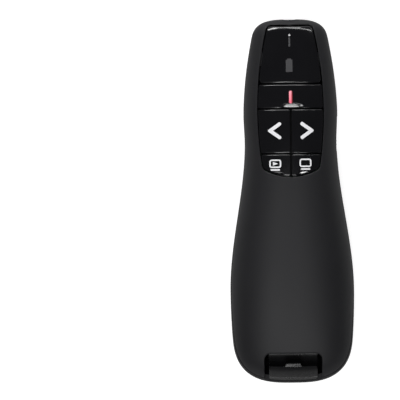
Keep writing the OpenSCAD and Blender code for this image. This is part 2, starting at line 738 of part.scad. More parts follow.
// A contact spring: a tapering coil of wire that starts flat on its plate at y, growing towards way
module coil(x, y, way) {
  turns = 3;
  wide_r = 3.6;
  narrow_r = 1.8;
  wire_sides = 6;
  steps = 42;
  gap = 0.05;
  length = spring_room - spring_wire - 2 * gap;
  function on_coil(u) = let (r = wide_r + (narrow_r - wide_r) * u, a = 360 * turns * u)
    [x + r * cos(a), y + way * (gap + spring_wire / 2 + length * u), cell_z + r * sin(a)];
  rings = [for (i = [steps : -1 : 0]) let (u = i / steps, a = 360 * turns * u, c = on_coil(u))
    [for (k = [0 : wire_sides - 1]) let (b = 360 * k / wire_sides, w = spring_wire / 2)
      c + [w * cos(b) * cos(a), w * sin(b), w * cos(b) * sin(a)]]];
  loft(rings);
}
module cell_spring_left() color("#c9ccd0") coil(-cell_x, bay_tail_y + plate_t, 1);
module cell_spring_right() color("#c9ccd0") coil(cell_x, bay_nose_y - plate_t, -1);

plate_w = 8;
plate_low_z = bay_wall_low_z - 2 * fit_gap;
plate_h = bay_roof_z - plate_low_z - fit_gap;
module cell_plate(x, y) color("#c9ccd0") translate([x - plate_w / 2, y, plate_low_z])
  cube([plate_w, plate_t, plate_h]);
module cell_plate_left() cell_plate(-cell_x, bay_nose_y - plate_t);
module cell_plate_right() cell_plate(cell_x, bay_nose_y - plate_t);
module cell_bridge() color("#c9ccd0") translate([-cell_x - plate_w / 2, bay_tail_y, plate_low_z])
  cube([2 * cell_x + plate_w, plate_t, plate_h]);

// Slide switch under the board's right edge, its lever, and the knob that carries the lever along
module power_switch() color("#9a9da2") difference() {
  lever_room = [2, lever_w + switch_travel + 2 * fit_gap, lever_t + 2 * slide_fit];
  translate([board_w / 2 - power_w, switch_y - power_len / 2, board_z - power_h])
    cube([power_w, power_len, power_h - touch_gap]);
  translate([board_w / 2 - lever_root - fit_gap / 2, switch_y - lever_room.y / 2, lever_z - slide_fit])
    cube(lever_room);
}
module power_lever() color("#202022")
  translate([board_w / 2 - lever_root, knob_rest_y - lever_w / 2, lever_z])
    cube([knob_x - slide_fit - board_w / 2 + lever_root, lever_w, lever_t]);
module power_knob() color("#34343a") {
  grip_x = waist_w / 2 - recess_depth;
  plate_top_z = lever_z + lever_t + 0.8;
  plate_low = slot_z - slot_h / 2 - recess_rim;
  plate_len = knob_len + 3;
  rib_n = 4;
  rib_pitch = 1.2;
  rib_w = 0.6;
  rib_h = 0.4;
  difference() {
    union() {
      translate([knob_x - knob_plate_t, knob_rest_y - plate_len / 2, plate_low])
        cube([knob_plate_t, plate_len, plate_top_z - plate_low]);
      translate([knob_x - small, knob_rest_y - knob_len / 2, slot_z - knob_h / 2])
        cube([grip_x - knob_x, knob_len, knob_h]);
      for (i = [0 : rib_n - 1]) let (y = knob_rest_y + (i - (rib_n - 1) / 2) * rib_pitch)
        translate([grip_x - small, y - rib_w / 2, slot_z - knob_h / 2]) cube([rib_h, rib_w, knob_h]);
    }
    translate([0, knob_rest_y - lever_w / 2 - lever_fit, lever_z - lever_fit])
      cube([grip_x, lever_w + 2 * lever_fit, lever_t + 2 * lever_fit]);
  }
}

// Receiver: a cap whose end follows the tail, with the USB plug in front
receiver_gap = 0.3;
cap_nose_y = tail_y + receiver_cap_len;
receiver_base_h = 1.9;
receiver_split_z = receiver_z + receiver_base_h;
receiver_wall = 0.9;
plug_z = receiver_z + receiver_t / 2;
plug_root = 2.6;
receiver_board_t = 0.8;
receiver_floor = 1.05;
receiver_board_z = receiver_z + receiver_floor;
receiver_corner = 1.4;
receiver_board_tail_y = tail_y + 4;
module receiver_half(low, high) intersection() {
  translate([0, cap_nose_y, receiver_z + receiver_t / 2]) rotate([90, 0, 0]) linear_extrude(receiver_cap_len)
    offset(r = receiver_corner) offset(delta = -receiver_corner)
      square([receiver_w, receiver_t], center = true);
  translate([-far, -2 * far, low]) cube([2 * far, 4 * far, high - low]);
  body_solid(receiver_gap, -far, tail_y, cap_nose_y + plug_root, stations / 2);
}
module plug_room(grow)
  translate([-plug_w / 2 - grow, cap_nose_y - plug_root - grow, plug_z - plug_t / 2 - grow])
    cube([plug_w + 2 * grow, plug_len + plug_root + grow, plug_t + 2 * grow]);

module receiver_cap() color("#232326") {
  dip_y = tail_y + notch_len - 2 * fit_gap;
  dip_lift = 0.8;
  bump = [5, 1.2];
  room_len = 5.4;
  difference() {
    receiver_half(receiver_split_z + touch_gap, receiver_z + receiver_t);
    difference() {
      translate([0, dip_y, receiver_z + receiver_t + dip_lift]) rotate([0, 90, 0])
        cylinder(r = dip_r, h = far, center = true);
      translate([-bump.x / 2, dip_y - dip_r, 0]) cube([bump.x, bump.y, far]);
    }
    plug_room(touch_gap);
    translate([-receiver_w / 2 + receiver_wall, cap_nose_y - room_len, receiver_z])
      cube([receiver_w - 2 * receiver_wall, room_len - receiver_wall, receiver_t - receiver_wall]);
  }
}
module receiver_base() color("#232326") difference() {
  receiver_half(receiver_z, receiver_split_z);
  plug_room(touch_gap);
  translate([-receiver_w / 2 + receiver_wall, receiver_board_tail_y, receiver_board_z - touch_gap])
    cube([receiver_w - 2 * receiver_wall, cap_nose_y - receiver_wall - receiver_board_tail_y, far]);
}
module receiver_board() color("#1f6b3a") {
  board = [receiver_w - 2 * receiver_wall - 2 * slide_fit,
    cap_nose_y - plug_root - receiver_board_tail_y - 2 * slide_fit, receiver_board_t];
  translate([-board.x / 2, receiver_board_tail_y + slide_fit, receiver_board_z]) cube(board);
}
module receiver_chip() color("#202022") {
  chip = [3, 2, 0.7];
  translate([-chip.x / 2, cap_nose_y - plug_root - chip.y - 2 * fit_gap, receiver_board_z + receiver_board_t])
    cube(chip);
}

// USB plug: a folded steel shell, the tongue that fills its root, and four contacts on the tongue
sheet_t = 0.3;
tongue_in = sheet_t + touch_gap;
tongue_low_z = plug_z - plug_t / 2 + tongue_in;
tongue_t = 1.8;
module plug_shell() color("#c9ccd0") {
  latch_w = 2.4;
  latch_x = 3.2;
  latch_from_root = 7;
  difference() {
    plug_room(0);
    translate([-plug_w / 2 + sheet_t, cap_nose_y - plug_root + sheet_t, plug_z - plug_t / 2 + sheet_t])
      cube([plug_w - 2 * sheet_t, far, plug_t - 2 * sheet_t]);
    for (s = [-1, 1]) translate([s * latch_x - latch_w / 2, cap_nose_y + latch_from_root, plug_z])
      cube([latch_w, latch_w, far]);
  }
}
module plug_tongue() color("#e8e8ea") {
  block_out = 0.6;
  side_room = 0.9;
  translate([-plug_w / 2 + tongue_in, cap_nose_y - plug_root + tongue_in, tongue_low_z])
    cube([plug_w - 2 * tongue_in, plug_root + block_out, plug_t - 2 * tongue_in]);
  translate([-plug_w / 2 + side_room, cap_nose_y, tongue_low_z])
    cube([plug_w - 2 * side_room, plug_len - block_out, tongue_t]);
}
module plug_contacts() color("#d6b25a") {
  contact_n = 4;
  contact_pitch = 2.3;
  contact = [1, plug_len - 4, 0.15];
  for (i = [0 : contact_n - 1]) let (x = (i - (contact_n - 1) / 2) * contact_pitch)
    translate([x - contact.x / 2, cap_nose_y + 2, tongue_low_z + tongue_t]) cube(contact);
}

// A pan-head screw that points up, its head under z = 0
module screw(d, length) {
  head_h = 0.6 * d;
  difference() {
    union() {
      translate([0, 0, -head_h]) cylinder(d = 2 * d, h = head_h);
      translate([0, 0, -small]) cylinder(d = d, h = length);
    }
    for (a = [0, 90]) rotate([0, 0, a]) translate([-0.7 * d, -0.1 * d, -head_h - small])
      cube([1.4 * d, 0.2 * d, 0.35 * d]);
  }
}
module case_screws() color("#8c8f94") for (i = [0, 1], s = [-1, 1]) let (p = case_screw_at[i])
  translate([s * p.x, p.y, case_screw_head_z[i]])
    screw(case_screw_d, pilot_top(i) - case_screw_head_z[i] - fit_gap);
module board_screw_pair(p, grip) for (s = [-1, 1])
  translate([s * p.x, p.y, board_top_z]) rotate([180, 0, 0]) screw(board_screw_d, board_t + grip);
module board_screws() color("#8c8f94") {
  board_screw_pair(board_front_at, board_screw_grip - fit_gap);
  board_screw_pair(board_rear_at, rear_screw_grip);
}

top_shell();
bottom_shell();
display_panel();
key_frame();
battery_door();
chassis();
laser_key();
previous_key();
next_key();
slideshow_key();
blank_key();
laser_switch();
previous_switch();
next_switch();
slideshow_switch();
blank_switch();
laser_plunger();
previous_plunger();
next_plunger();
slideshow_plunger();
blank_plunger();
main_board();
radio_chip();
crystal();
chip_parts();
battery_light();
signal_light();
light_guide();
laser_barrel();
laser_lens();
laser_diode();
laser_board();
laser_leads();
laser_bezel();
laser_window();
cell_left();
cell_right();
cell_spring_left();
cell_spring_right();
cell_plate_left();
cell_plate_right();
cell_bridge();
power_switch();
power_lever();
power_knob();
receiver_cap();
receiver_base();
receiver_board();
receiver_chip();
plug_shell();
plug_tongue();
plug_contacts();
case_screws();
board_screws();
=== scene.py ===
import math

import bmesh
import bpy
import numpy as np
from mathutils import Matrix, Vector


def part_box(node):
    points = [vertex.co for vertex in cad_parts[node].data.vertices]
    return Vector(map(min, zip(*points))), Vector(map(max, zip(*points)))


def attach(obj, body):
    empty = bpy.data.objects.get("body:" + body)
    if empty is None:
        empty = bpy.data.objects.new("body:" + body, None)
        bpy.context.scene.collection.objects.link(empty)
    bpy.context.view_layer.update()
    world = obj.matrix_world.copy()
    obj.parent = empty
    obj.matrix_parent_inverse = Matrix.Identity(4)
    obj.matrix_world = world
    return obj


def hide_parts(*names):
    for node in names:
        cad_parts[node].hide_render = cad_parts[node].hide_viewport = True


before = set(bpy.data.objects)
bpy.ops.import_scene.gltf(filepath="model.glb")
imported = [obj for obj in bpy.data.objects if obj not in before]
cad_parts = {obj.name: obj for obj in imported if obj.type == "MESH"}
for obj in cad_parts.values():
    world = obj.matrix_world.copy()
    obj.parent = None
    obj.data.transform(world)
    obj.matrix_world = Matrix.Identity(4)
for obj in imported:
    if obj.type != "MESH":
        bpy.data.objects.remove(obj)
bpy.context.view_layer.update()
mm = 0.001

# -------- camera
# It looks straight down from four metres above a spot to the left of the case, far enough away that the case's
# sides hardly open up, and is turned by a fraction of a degree.
camera_height, widest_line_z = 4000, 10
pixels_per_mm, picture_px, sensor = 3.162, 400, 36
case_in_picture, case_lean = (91.3, -1.05), math.radians(0.63)

lens = bpy.data.cameras.new("camera")
lens.sensor_width = sensor
lens.lens = pixels_per_mm * camera_height * sensor / picture_px
lens.clip_start, lens.clip_end = 0.05, 20
camera = bpy.data.objects.new("camera", lens)
bpy.context.scene.collection.objects.link(camera)
right, up = (d / pixels_per_mm for d in case_in_picture)
camera.location = (-(right * math.cos(case_lean) + up * math.sin(case_lean)) * mm,
                   (right * math.sin(case_lean) - up * math.cos(case_lean)) * mm,
                   (widest_line_z + camera_height) * mm)
camera.rotation_euler = (0, 0, -case_lean)
bpy.context.scene.camera = camera
bpy.context.scene.view_settings.view_transform = "Standard"


# -------- table and studio light
# A pale matt tabletop under a dark studio ceiling: one long softbox over the left of the case, low ones
# beyond the nose, a weak one at the left, and two narrow strips that make the glints on the polished keys.
def linear(code):
    """sRGB hex to linear: c / 12.92 up to 0.04045, else ((c + 0.055) / 1.055) to the power 2.4."""
    c = np.array([int(code[i:i + 2], 16) for i in (1, 3, 5)]) / 255
    return (*np.where(c <= 0.04045, c / 12.92, ((c + 0.055) / 1.055) ** 2.4), 1.0)


def add(tree, kind, settings=None, links=None):
    """Adds a shader node, sets its properties and socket values, with "stops" for a ramp's places and
    colours, and joins its inputs to sources: a source is an output, or a node, which stands for its first
    output."""
    made = tree.nodes.new("ShaderNode" + kind)
    for name, value in (settings or {}).items():
        if name == "stops":
            for stop, (at, code) in zip(made.color_ramp.elements, value):
                stop.position, stop.color = at, linear(code)
        elif hasattr(made, str(name)):
            setattr(made, name, value)
        else:
            made.inputs[name].default_value = value
    for name, source in (links or {}).items():
        tree.links.new(getattr(source, "outputs", [source])[0], made.inputs[name])
    return made


def new_finish(name):
    """A material with an empty node tree, the tree, and the Object coordinates that its patterns read."""
    made = bpy.data.materials.new(name)
    made.use_nodes = True
    made.node_tree.nodes.clear()
    return made, made.node_tree, add(made.node_tree, "TexCoord").outputs["Object"]


def seen_straight(tree):
    """1 for rays from the camera or through clear pieces, else 0; and 1 for mirrored rays, else 0."""
    rays = add(tree, "LightPath").outputs
    straight = {0: rays["Is Camera Ray"], 1: rays["Is Transmission Ray"]}
    return add(tree, "Math", {"operation": "MAXIMUM"}, straight), rays["Is Glossy Ray"]


# painted board: the camera and clear pieces see it lifted to white, and mirror-like ones a little lifted, so
# that black sheens stay dark; shadows stay
clear_lift, mirror_lift = 0.8, 0.08
painted_board, tree, spot = new_finish("painted_tabletop")
mottle = add(tree, "TexNoise", {"Scale": 1 / (40 * mm), "Detail": 2.0}, {"Vector": spot})
shade = add(tree, "ValToRGB", {"stops": ((0, "#ADADAD"), (1, "#B5B5B5"))}, {"Fac": mottle})
matt = add(tree, "BsdfDiffuse", {"Roughness": 0.5}, {"Color": shade})
clear, glossy = seen_straight(tree)
mirrored = add(tree, "Math", {"operation": "MULTIPLY", 1: mirror_lift}, {0: glossy})
lift_by = add(tree, "Math", {"operation": "MULTIPLY_ADD", 1: clear_lift}, {0: clear, 2: mirrored})
lift = add(tree, "Emission", {"Color": linear("#FFFFFF")}, {"Strength": lift_by})
add(tree, "OutputMaterial", {}, {"Surface": add(tree, "AddShader", {}, {0: matt, 1: lift})})


def circle(x, y, r, n=40):
    """A level circle of n points."""
    a = np.linspace(0, 2 * math.pi, n, endpoint=False)
    return np.column_stack([x + r * np.cos(a), y + r * np.sin(a)])


table_r, table_sides = 4000, 64
table_mesh = bpy.data.meshes.new("tabletop")
table_mesh.from_pydata(np.insert(circle(0, 0, table_r * mm, table_sides), 2, 0, 1).tolist(), [],
                       [list(range(table_sides))])
table_mesh.materials.append(painted_board)
tabletop = bpy.data.objects.new("tabletop", table_mesh)
bpy.context.scene.collection.objects.link(tabletop)

# lamps aimed at the case: bearing (0 is the nose, 90 the right side), elevation, distance, width, length,
# radiance
for name, bearing, elevation, distance, width, length, radiance in (
        ("ceiling_softbox", 217, 74, 900, 150, 560, 12), ("shoulder_softbox", 250, 54, 900, 360, 500, 0.6),
        ("left_front_softbox", -26, 23, 900, 360, 160, 16),
        ("right_front_softbox", 40, 14, 900, 260, 240, 1.5),
        ("nose_softbox", -5, 16, 900, 460, 220, 14), ("tail_strip", 175, 52, 800, 500, 58, 30),
        ("nose_strip", 22, 32, 800, 520, 50, 17)):
    lamp = bpy.data.lights.new(name, "AREA")
    lamp.shape, lamp.size, lamp.size_y = "RECTANGLE", width * mm, length * mm
    lamp.energy = math.pi * width * length * mm * mm * radiance
    lamp.color = linear("#FFFFFF")[:3]
    softbox = bpy.data.objects.new(name, lamp)
    b, e = math.radians(bearing), math.radians(elevation)
    softbox.location = (distance * mm * math.sin(b) * math.cos(e), distance * mm * math.cos(b) * math.cos(e),
                        distance * mm * math.sin(e))
    softbox.rotation_euler = softbox.location.to_track_quat("Z", "Y").to_euler()
    softbox.visible_camera = False
    bpy.context.scene.collection.objects.link(softbox)

# the studio's dark ceiling and walls; the camera and clear pieces see a white backdrop in front of them
world = bpy.data.worlds.new("studio")
bpy.context.scene.world = world
world.use_nodes = True
tree = world.node_tree
tree.nodes.clear()
height = add(tree, "SeparateXYZ", {}, {"Vector": add(tree, "TexCoord").outputs["Generated"]})
walls = add(tree, "ValToRGB", {"stops": ((0, "#454547"), (0.5, "#4A4A4C"))}, {"Fac": height.outputs["Z"]})
clear, glossy = seen_straight(tree)
backdrop = add(tree, "Mix", {"data_type": "RGBA", 7: linear("#FFFFFF")}, {0: clear, 6: walls})
glow = add(tree, "Background", {"Strength": 1.0}, {"Color": backdrop.outputs[2]})
add(tree, "OutputWorld", {}, {"Surface": glow})

# -------- lower case half
# Moulded black ABS with a fine spark-eroded grain, flat under the cells, its rim just proud of the upper
# half's. The wells take the four case screws, and the right side carries the power switch's slot.
body_len, grip_w, waist_w, head_w, nose_w, tail_w = 115, 39.2, 29.2, 29.8, 21.6, 35.2
tail_y, nose_y = -body_len / 2, body_len / 2
grip_y, waist_y, head_y = tail_y + 29.5, nose_y - 39, nose_y - 30.5
tail_round, nose_round, tail_edge, nose_edge = 15.5, 6.5, 7, 4
back_power, belly_power = 2.6, 2.8
crown_z, equator_z, wall = 26.6, 10, 1.8
tail_fall, tail_fall_len, nose_fall, nose_fall_len = 8.2, 55.5, 9.1, 59.5
nose_lift, nose_lift_len, tail_lift, tail_lift_len, belly_flat = 8.2, 62.5, 5, 17.5, 1.2
seam_tail_z, seam_nose_z, seam_gap = 15, 12, 0.2
skin, lower_lip, crease = 0.05, 0.25, math.radians(35)


def cap(s, n):
    """Quarter of a superellipse: (1 - s to the n) to the 1 / n, for s from 0 to 1."""
    return (1 - np.clip(s, 0, 1) ** n) ** (1 / n)


def ends(y, o, tail_r, nose_r, tail_n, nose_n):
    """1 along the middle and down to 0 at both ends, as a superellipse over each rounding length."""
    return (cap((tail_y + tail_r - y) / (tail_r - o), tail_n)
            * cap((y - nose_y + nose_r) / (nose_r - o), nose_n))


def ease(t):
    """A smooth step from 0 to 1: t squared times (3 - 2 t)."""
    t = np.clip(t, 0, 1)
    return t ** 2 * (3 - 2 * t)


def half_width(y, o=0):
    """Half the case's width at y, set in by o: a parabola from grip to tail, smooth steps from grip to waist
    and waist to head, and a power curve from head to nose, times the rounded ends."""
    side = np.select(
        [y < grip_y, y < waist_y, y < head_y],
        [grip_w / 2 - (grip_w - tail_w) / 2 * ((grip_y - y) / (grip_y - tail_y)) ** 2,
         grip_w / 2 - (grip_w - waist_w) / 2 * ease((y - grip_y) / (waist_y - grip_y)),
         waist_w / 2 + (head_w - waist_w) / 2 * ease((y - waist_y) / (head_y - waist_y))],
        head_w / 2 - (head_w - nose_w) / 2 * np.clip((y - head_y) / (nose_y - head_y), 0, 1) ** 1.8)
    return (side - o) * ends(y, o, tail_round, nose_round, 3, 3.2)


def near(distance, length, p):
    """Falls from 1 at an end of the case to 0 at that length from it, to the power p."""
    return np.clip(1 - distance / length, 0, None) ** p


def rise(y, o=0):
    """Height of the back over the widest line, set in by o."""
    top = (crown_z - tail_fall * near(y - tail_y, tail_fall_len, 3.2)
           - nose_fall * near(nose_y - y, nose_fall_len, 1.9))
    return (top - equator_z - o) * ends(y, o, tail_edge, nose_edge, 2.2, 2.5)


def drop(y, o=0):
    """Depth of the belly under the widest line, set in by o, before its flat is cut."""
    low = (tail_lift * near(y - tail_y, tail_lift_len, 2.2) + nose_lift * near(nose_y - y, nose_lift_len, 1.6)
           - belly_flat)
    return (equator_z - low - o) * ends(y, o, tail_edge, nose_edge, 2.2, 2.5)


def back_z(x, y, o=skin):
    """Height of the back at (x, y): the widest line plus the rise times a superellipse across."""
    return equator_z + rise(y, o) * cap(np.abs(x) / np.maximum(half_width(y, o), 1e-6), back_power)


def belly_z(x, y, o=skin):
    """Height of the underside at (x, y), flat at 0: the widest line less the drop times a superellipse."""
    across = cap(np.abs(x) / np.maximum(half_width(y, o), 1e-6), belly_power)
    return np.maximum(0, equator_z - drop(y, o) * across)


def seam_z(y):
    """Height of the joint between the case halves: a straight line from tail to nose."""
    return seam_tail_z + (seam_nose_z - seam_tail_z) * (y - tail_y) / body_len


def round_row(a, y, o, floor):
    """Points of the case's cross-sections at angles a from the right: half width * cos to 2 / p, and the rise
    or drop * sin to 2 / p, no lower than the floor."""
    c, s = np.cos(a), np.sin(a)
    p = np.where(s < 0, belly_power, back_power)
    h = np.where(s < 0, -drop(y, o), rise(y, o))
    return np.stack([half_width(y, o) * np.sign(c) * np.abs(c) ** (2 / p), y + 0 * a,
                     np.maximum(floor, equator_z + h * np.abs(s) ** (2 / p))], -1)


def stations(low, high, n):
    """Places along the case, closest together at both ends: a half cosine from low to high."""
    return low + (high - low) * (1 - np.cos(np.linspace(0, math.pi, n))) / 2


def pull_in(rows, by):
    """Rows (stations, k, 3) of the right side moved inwards, level, by so much, square to each row's line."""
    line = np.gradient(rows[..., :2], axis=0)
    out = np.stack([line[..., 1], -line[..., 0]], -1)
    out /= np.maximum(np.linalg.norm(line, axis=-1, keepdims=True), 1e-9)
    moved = rows.copy()
    moved[..., :2] -= out * by[..., None]
    moved[..., 0] = np.maximum(moved[..., 0], 0)
    return moved


def closed(mesh):
    """Merges equal points of a mesh, drops faces with no area and turns the others outwards."""
    work = bmesh.new()
    work.from_mesh(mesh)
    bmesh.ops.remove_doubles(work, verts=work.verts, dist=5e-8)
    bmesh.ops.dissolve_degenerate(work, edges=work.edges, dist=1e-10)
    bmesh.ops.recalc_face_normals(work, faces=work.faces)
    work.to_mesh(mesh)
    work.free()


def show(name, mesh):
    """An object of that name with that mesh, in the scene."""
    made = bpy.data.objects.new(name, mesh)
    bpy.context.scene.collection.objects.link(made)
    return made


def make(name, *grids, loops=()):
    """A closed mesh from grids of points in mm: quads between neighbouring rows and columns, the last column
    joined to the first (and the last row too in a loop), and no face that lies in the middle plane."""
    points, quads, first = [], [], 0
    for g, loop in [(g, False) for g in grids] + [(g, True) for g in loops]:
        rows, cols = g.shape[:2]
        i, j = np.arange(rows if loop else rows - 1)[:, None], np.arange(cols)[None, :]
        n, k = (i + 1) % rows, (j + 1) % cols
        quad = np.stack([i * cols + j, i * cols + k, n * cols + k, n * cols + j], -1).reshape(-1, 4)
        flat = g.reshape(-1, 3)
        quads.append(first + quad[np.abs(flat[quad][..., 0]).max(1) > 1e-6])
        points.append(flat)
        first += rows * cols
    mesh = bpy.data.meshes.new(name)
    mesh.from_pydata((np.concatenate(points) * mm).tolist(), [], np.concatenate(quads).tolist())
    closed(mesh)
    return show(name, mesh)


def stack(rings, centre_low=None, centre_high=None):
    """A grid from rings (m, n, 3), with a pole at each end: at those centres, or in the end rings'
    middles."""
    rings = np.asarray(rings)
    poles = (rings[0].mean(0) if centre_low is None else centre_low,
             rings[-1].mean(0) if centre_high is None else centre_high)
    low, high = (np.broadcast_to(pole, (1, *rings.shape[1:])) for pole in poles)
    return np.concatenate([low, rings, high])


def prism(outline, low, high):
    """An upright prism on a flat outline, from low to high, to carve with."""
    return make("tool", stack([np.insert(np.asarray(outline, float), 2, z, 1) for z in (low, high)]))


def turned(name, profile, at, axis, n=48, loop=False):
    """A solid of revolution: (radius, distance) pairs turned round a line through at along x or y, as a ring
    where the profile is a loop."""
    r, d = np.asarray(profile, float).T[..., None]
    grid = np.insert(r[..., None] * circle(0, 0, 1, n), "xy".index(axis), d, -1) + np.asarray(at, float)
    return make(name, loops=[grid]) if loop else make(name, grid)


def carve(solid, *tools, how="DIFFERENCE"):
    """Takes the tools out of a solid (DIFFERENCE), or joins them to it (UNION) or keeps what they share."""
    for tool in tools:
        step = solid.modifiers.new("step", "BOOLEAN")
        step.operation, step.solver, step.object = how, "MANIFOLD", tool
        bpy.context.view_layer.update()
        done = bpy.data.meshes.new_from_object(solid.evaluated_get(bpy.context.evaluated_depsgraph_get()))
        solid.modifiers.clear()
        solid.data = done
        bpy.data.objects.remove(tool)
    return solid


def fit(made, body, finish, nodes=()):
    """Gives a piece its finish, smooth shading up to the crease angle, its body and the nodes that
    it stands for."""
    made.data.materials.clear()
    made.data.materials.append(finish)
    made.data.shade_smooth()
    made.data.set_sharp_from_angle(angle=crease)
    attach(made, body)
    if nodes:
        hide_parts(*nodes)


def shell(name, upper, lip_radius, n, m):
    """One case half: outer rows from joint to joint, and inner rows set in by the wall. The lip is a quarter
    circle: at each distance from the joint the edge is pulled in by so much. A row is worked out on the
    right side and mirrored to the left."""
    way = 1 if upper else -1
    gap = way * seam_gap / 2
    t = np.linspace(0, math.pi / 2, 6)
    far, pulled = lip_radius * (1 - np.cos(t)), lip_radius * (1 - np.sin(t))

    def rows(o, floor, inner):
        y = stations(tail_y + o, nose_y - o, n)[:, None]
        if upper:
            y_all = np.linspace(tail_y + o, nose_y - o, 40001)
            reach = y_all[rise(y_all, o) > seam_z(y_all) + gap - equator_z]
            y = stations(reach[0], reach[-1], n)[:, None]

        def angle(h):
            t = (seam_z(y) + gap + way * h - equator_z) / np.maximum(rise(y, o), 1e-6)
            t[[0, -1]] = 1
            return np.arcsin(np.clip(t, 0, 1) ** (back_power / 2))

        lip_angle = angle(np.zeros((1, 1)) if inner else far[None, :-1])
        lip = round_row(lip_angle, y, o, floor)
        if not inner:
            open_here = (lip_angle < math.pi / 2) | np.full(lip_angle.shape, upper)
            lip = pull_in(lip, pulled[None, :-1] * open_here)
        first_step = 0.3 if inner else far[-1]
        start = angle(np.full((1, 1), first_step))
        if upper:
            q = np.linspace(0, 0.5, m // 2 + 1)[None, :]
            main = round_row(start + (math.pi - 2 * start) * q, y, o, floor)
        else:
            to_floor = np.clip((equator_z - floor) / np.maximum(drop(y, o), 1e-6), 0, 1)
            flat = np.arcsin(to_floor ** (belly_power / 2))
            q = np.linspace(0, 1, m // 2)[None, :]
            side = round_row(start - (start + flat) * q, y, o, floor)
            under = side[:, -1:]
            flat_x = under[..., 0] * (1 - np.linspace(0, 1, m // 8 + 1)[1:])[None, :]
            belly = np.stack([flat_x, y + 0 * flat_x, under[..., 2] + 0 * flat_x], -1)
            main = np.concatenate([side, belly], 1)
        half = np.concatenate([lip, main], 1)
        return np.concatenate([half, half[:, -2::-1] * np.array([-1, 1, 1])], 1)

    outer, inner = rows(skin, 0, False), rows(wall, wall, True)
    return make(name, np.concatenate([outer, inner[:, ::-1]], 1))


# the screws' places and the heights of their heads, the board's front posts, the laser, the notch, slot and
# door
case_screws_at = [(s * x, y, z) for s in (-1, 1)
                  for x, y, z in ((11.5, tail_y + 7, 4.6), (9.3, nose_y - 12.5, 8.4))]
board_posts_at, post_high_z = [(-6.9, 33.5), (6.9, 33.5)], 15.9
boss_d, post_d, collar_d, head_well_d, shaft_hole_d, pilot_d = 4.2, 3.6, 5.0, 4.3, 2.16, 2.06
barrel_z, bezel_d, window_d = 11.8, 6.0, 4.4
notch_w, notch_len, notch_corner, notch_z = 18.2, 9.8, 2, 13.4
switch_y, slot_z, slot_len, slot_h, slot_corner, recess_depth = 21.0, 10.4, 8.4, 3.8, 0.6, 0.5
door_w, door_tail_y, door_nose_y, door_corner = 23, -45.6, 2.6, 1.5
root, far_out = 0.6, 60


def round_box(x0, x1, y0, y1, r, n=8):
    """A rectangle with corners of radius r: quarter circles of n + 1 points round each set-in corner."""
    t = np.linspace(0, math.pi / 2, n + 1)[None, :] + np.arange(4)[:, None] * math.pi / 2
    x, y = ([x1 - r], [x0 + r], [x0 + r], [x1 - r]), ([y1 - r], [y1 - r], [y0 + r], [y0 + r])
    return np.column_stack([(x + r * np.cos(t)).ravel(), (y + r * np.sin(t)).ravel()])


def notch_tool():
    """The receiver's notch: a round-cornered U from past the tail, open upwards."""
    outline = round_box(-notch_w / 2, notch_w / 2, tail_y - 6, tail_y + notch_len, notch_corner)
    return prism(outline, notch_z, far_out)


def nose_tool():
    """The bore in the nose that the laser's bezel sits in."""
    r = bezel_d / 2 + 0.05
    return turned("tool", [(0, 40), (r, 40), (r, 70), (0, 70)], (0, 0, barrel_z), "y")


def across(outline, x0, x1, grow=0.0):
    """A prism through the right side: an outline in (y, z) from x0 to x1, growing towards x1."""
    middle = outline.mean(0)
    return make("tool", stack([np.insert(middle + (outline - middle) * g, 0, x, 1)
                               for x, g in ((x0, 1), (x1, 1 + grow))]))


# bosses round the screws' shafts, collars round their heads, and posts under the board
lower_shell = shell("lower_case", False, lower_lip, 280, 96)
for x, y, head_z in case_screws_at:
    low = belly_z(x, y) + root
    carve(lower_shell, prism(circle(x, y, boss_d / 2), low, seam_z(y) - 0.2),
          prism(circle(x, y, collar_d / 2), low + 1.1, head_z + 0.8), how="UNION")
for x, y in board_posts_at:
    carve(lower_shell, prism(circle(x, y, post_d / 2), belly_z(x, y) + root, post_high_z), how="UNION")
carve(lower_shell, prism(round_box(-door_w / 2, door_w / 2, door_tail_y, door_nose_y, door_corner), -1, 9),
      notch_tool(), nose_tool())
for x, y, head_z in case_screws_at:
    carve(lower_shell, prism(circle(x, y, head_well_d / 2), -1, head_z),
          prism(circle(x, y, shaft_hole_d / 2), head_z - 0.5, 30))

# the slot for the power knob, in a recess that is wider below than above, and a thumb groove behind the door
half_len, half_h = slot_len / 2, slot_h / 2
slot = round_box(switch_y - half_len, switch_y + half_len, slot_z - half_h, slot_z + half_h, slot_corner)
rim = np.array([(-half_len - 1.6, -half_h - 0.5), (half_len + 1.6, -half_h - 0.5),
                (half_len + 0.8, half_h + 0.5), (-half_len - 0.8, half_h + 0.5)])
groove_half, groove_r, groove_z = 4.5, 2.4, -1.6
carve(lower_shell, across(slot, 10, 20),
      across(rim + np.array([switch_y, slot_z]), waist_w / 2 - recess_depth, waist_w / 2 + 3, 0.45),
      turned("tool", [(0, -groove_half), (groove_r, -groove_half), (groove_r, groove_half), (0, groove_half)],
             (0, door_tail_y - 1, groove_z), "x", 64))

# ABS with a spark-eroded texture, its 0.05 mm grain drawn at 0.3 mm so that it shows: reads as an even, soft
# satin black
grained_abs, tree, spot = new_finish("grained_black_abs")
grain = add(tree, "TexNoise", {"Scale": 1 / (0.3 * mm), "Detail": 3.0}, {"Vector": spot})
bump = add(tree, "Bump", {"Strength": 0.25, "Distance": 0.02 * mm}, {"Height": grain})
tone = add(tree, "ValToRGB", {"stops": ((0, "#121213"), (1, "#1D1D1F"))}, {"Fac": grain})
surface = add(tree, "BsdfPrincipled", {"Roughness": 0.5, "IOR": 1.5, "Specular IOR Level": 0.1},
              {"Base Color": tone, "Normal": bump})
add(tree, "OutputMaterial", {}, {"Surface": surface})
fit(lower_shell, "root", grained_abs, ["bottom_shell"])

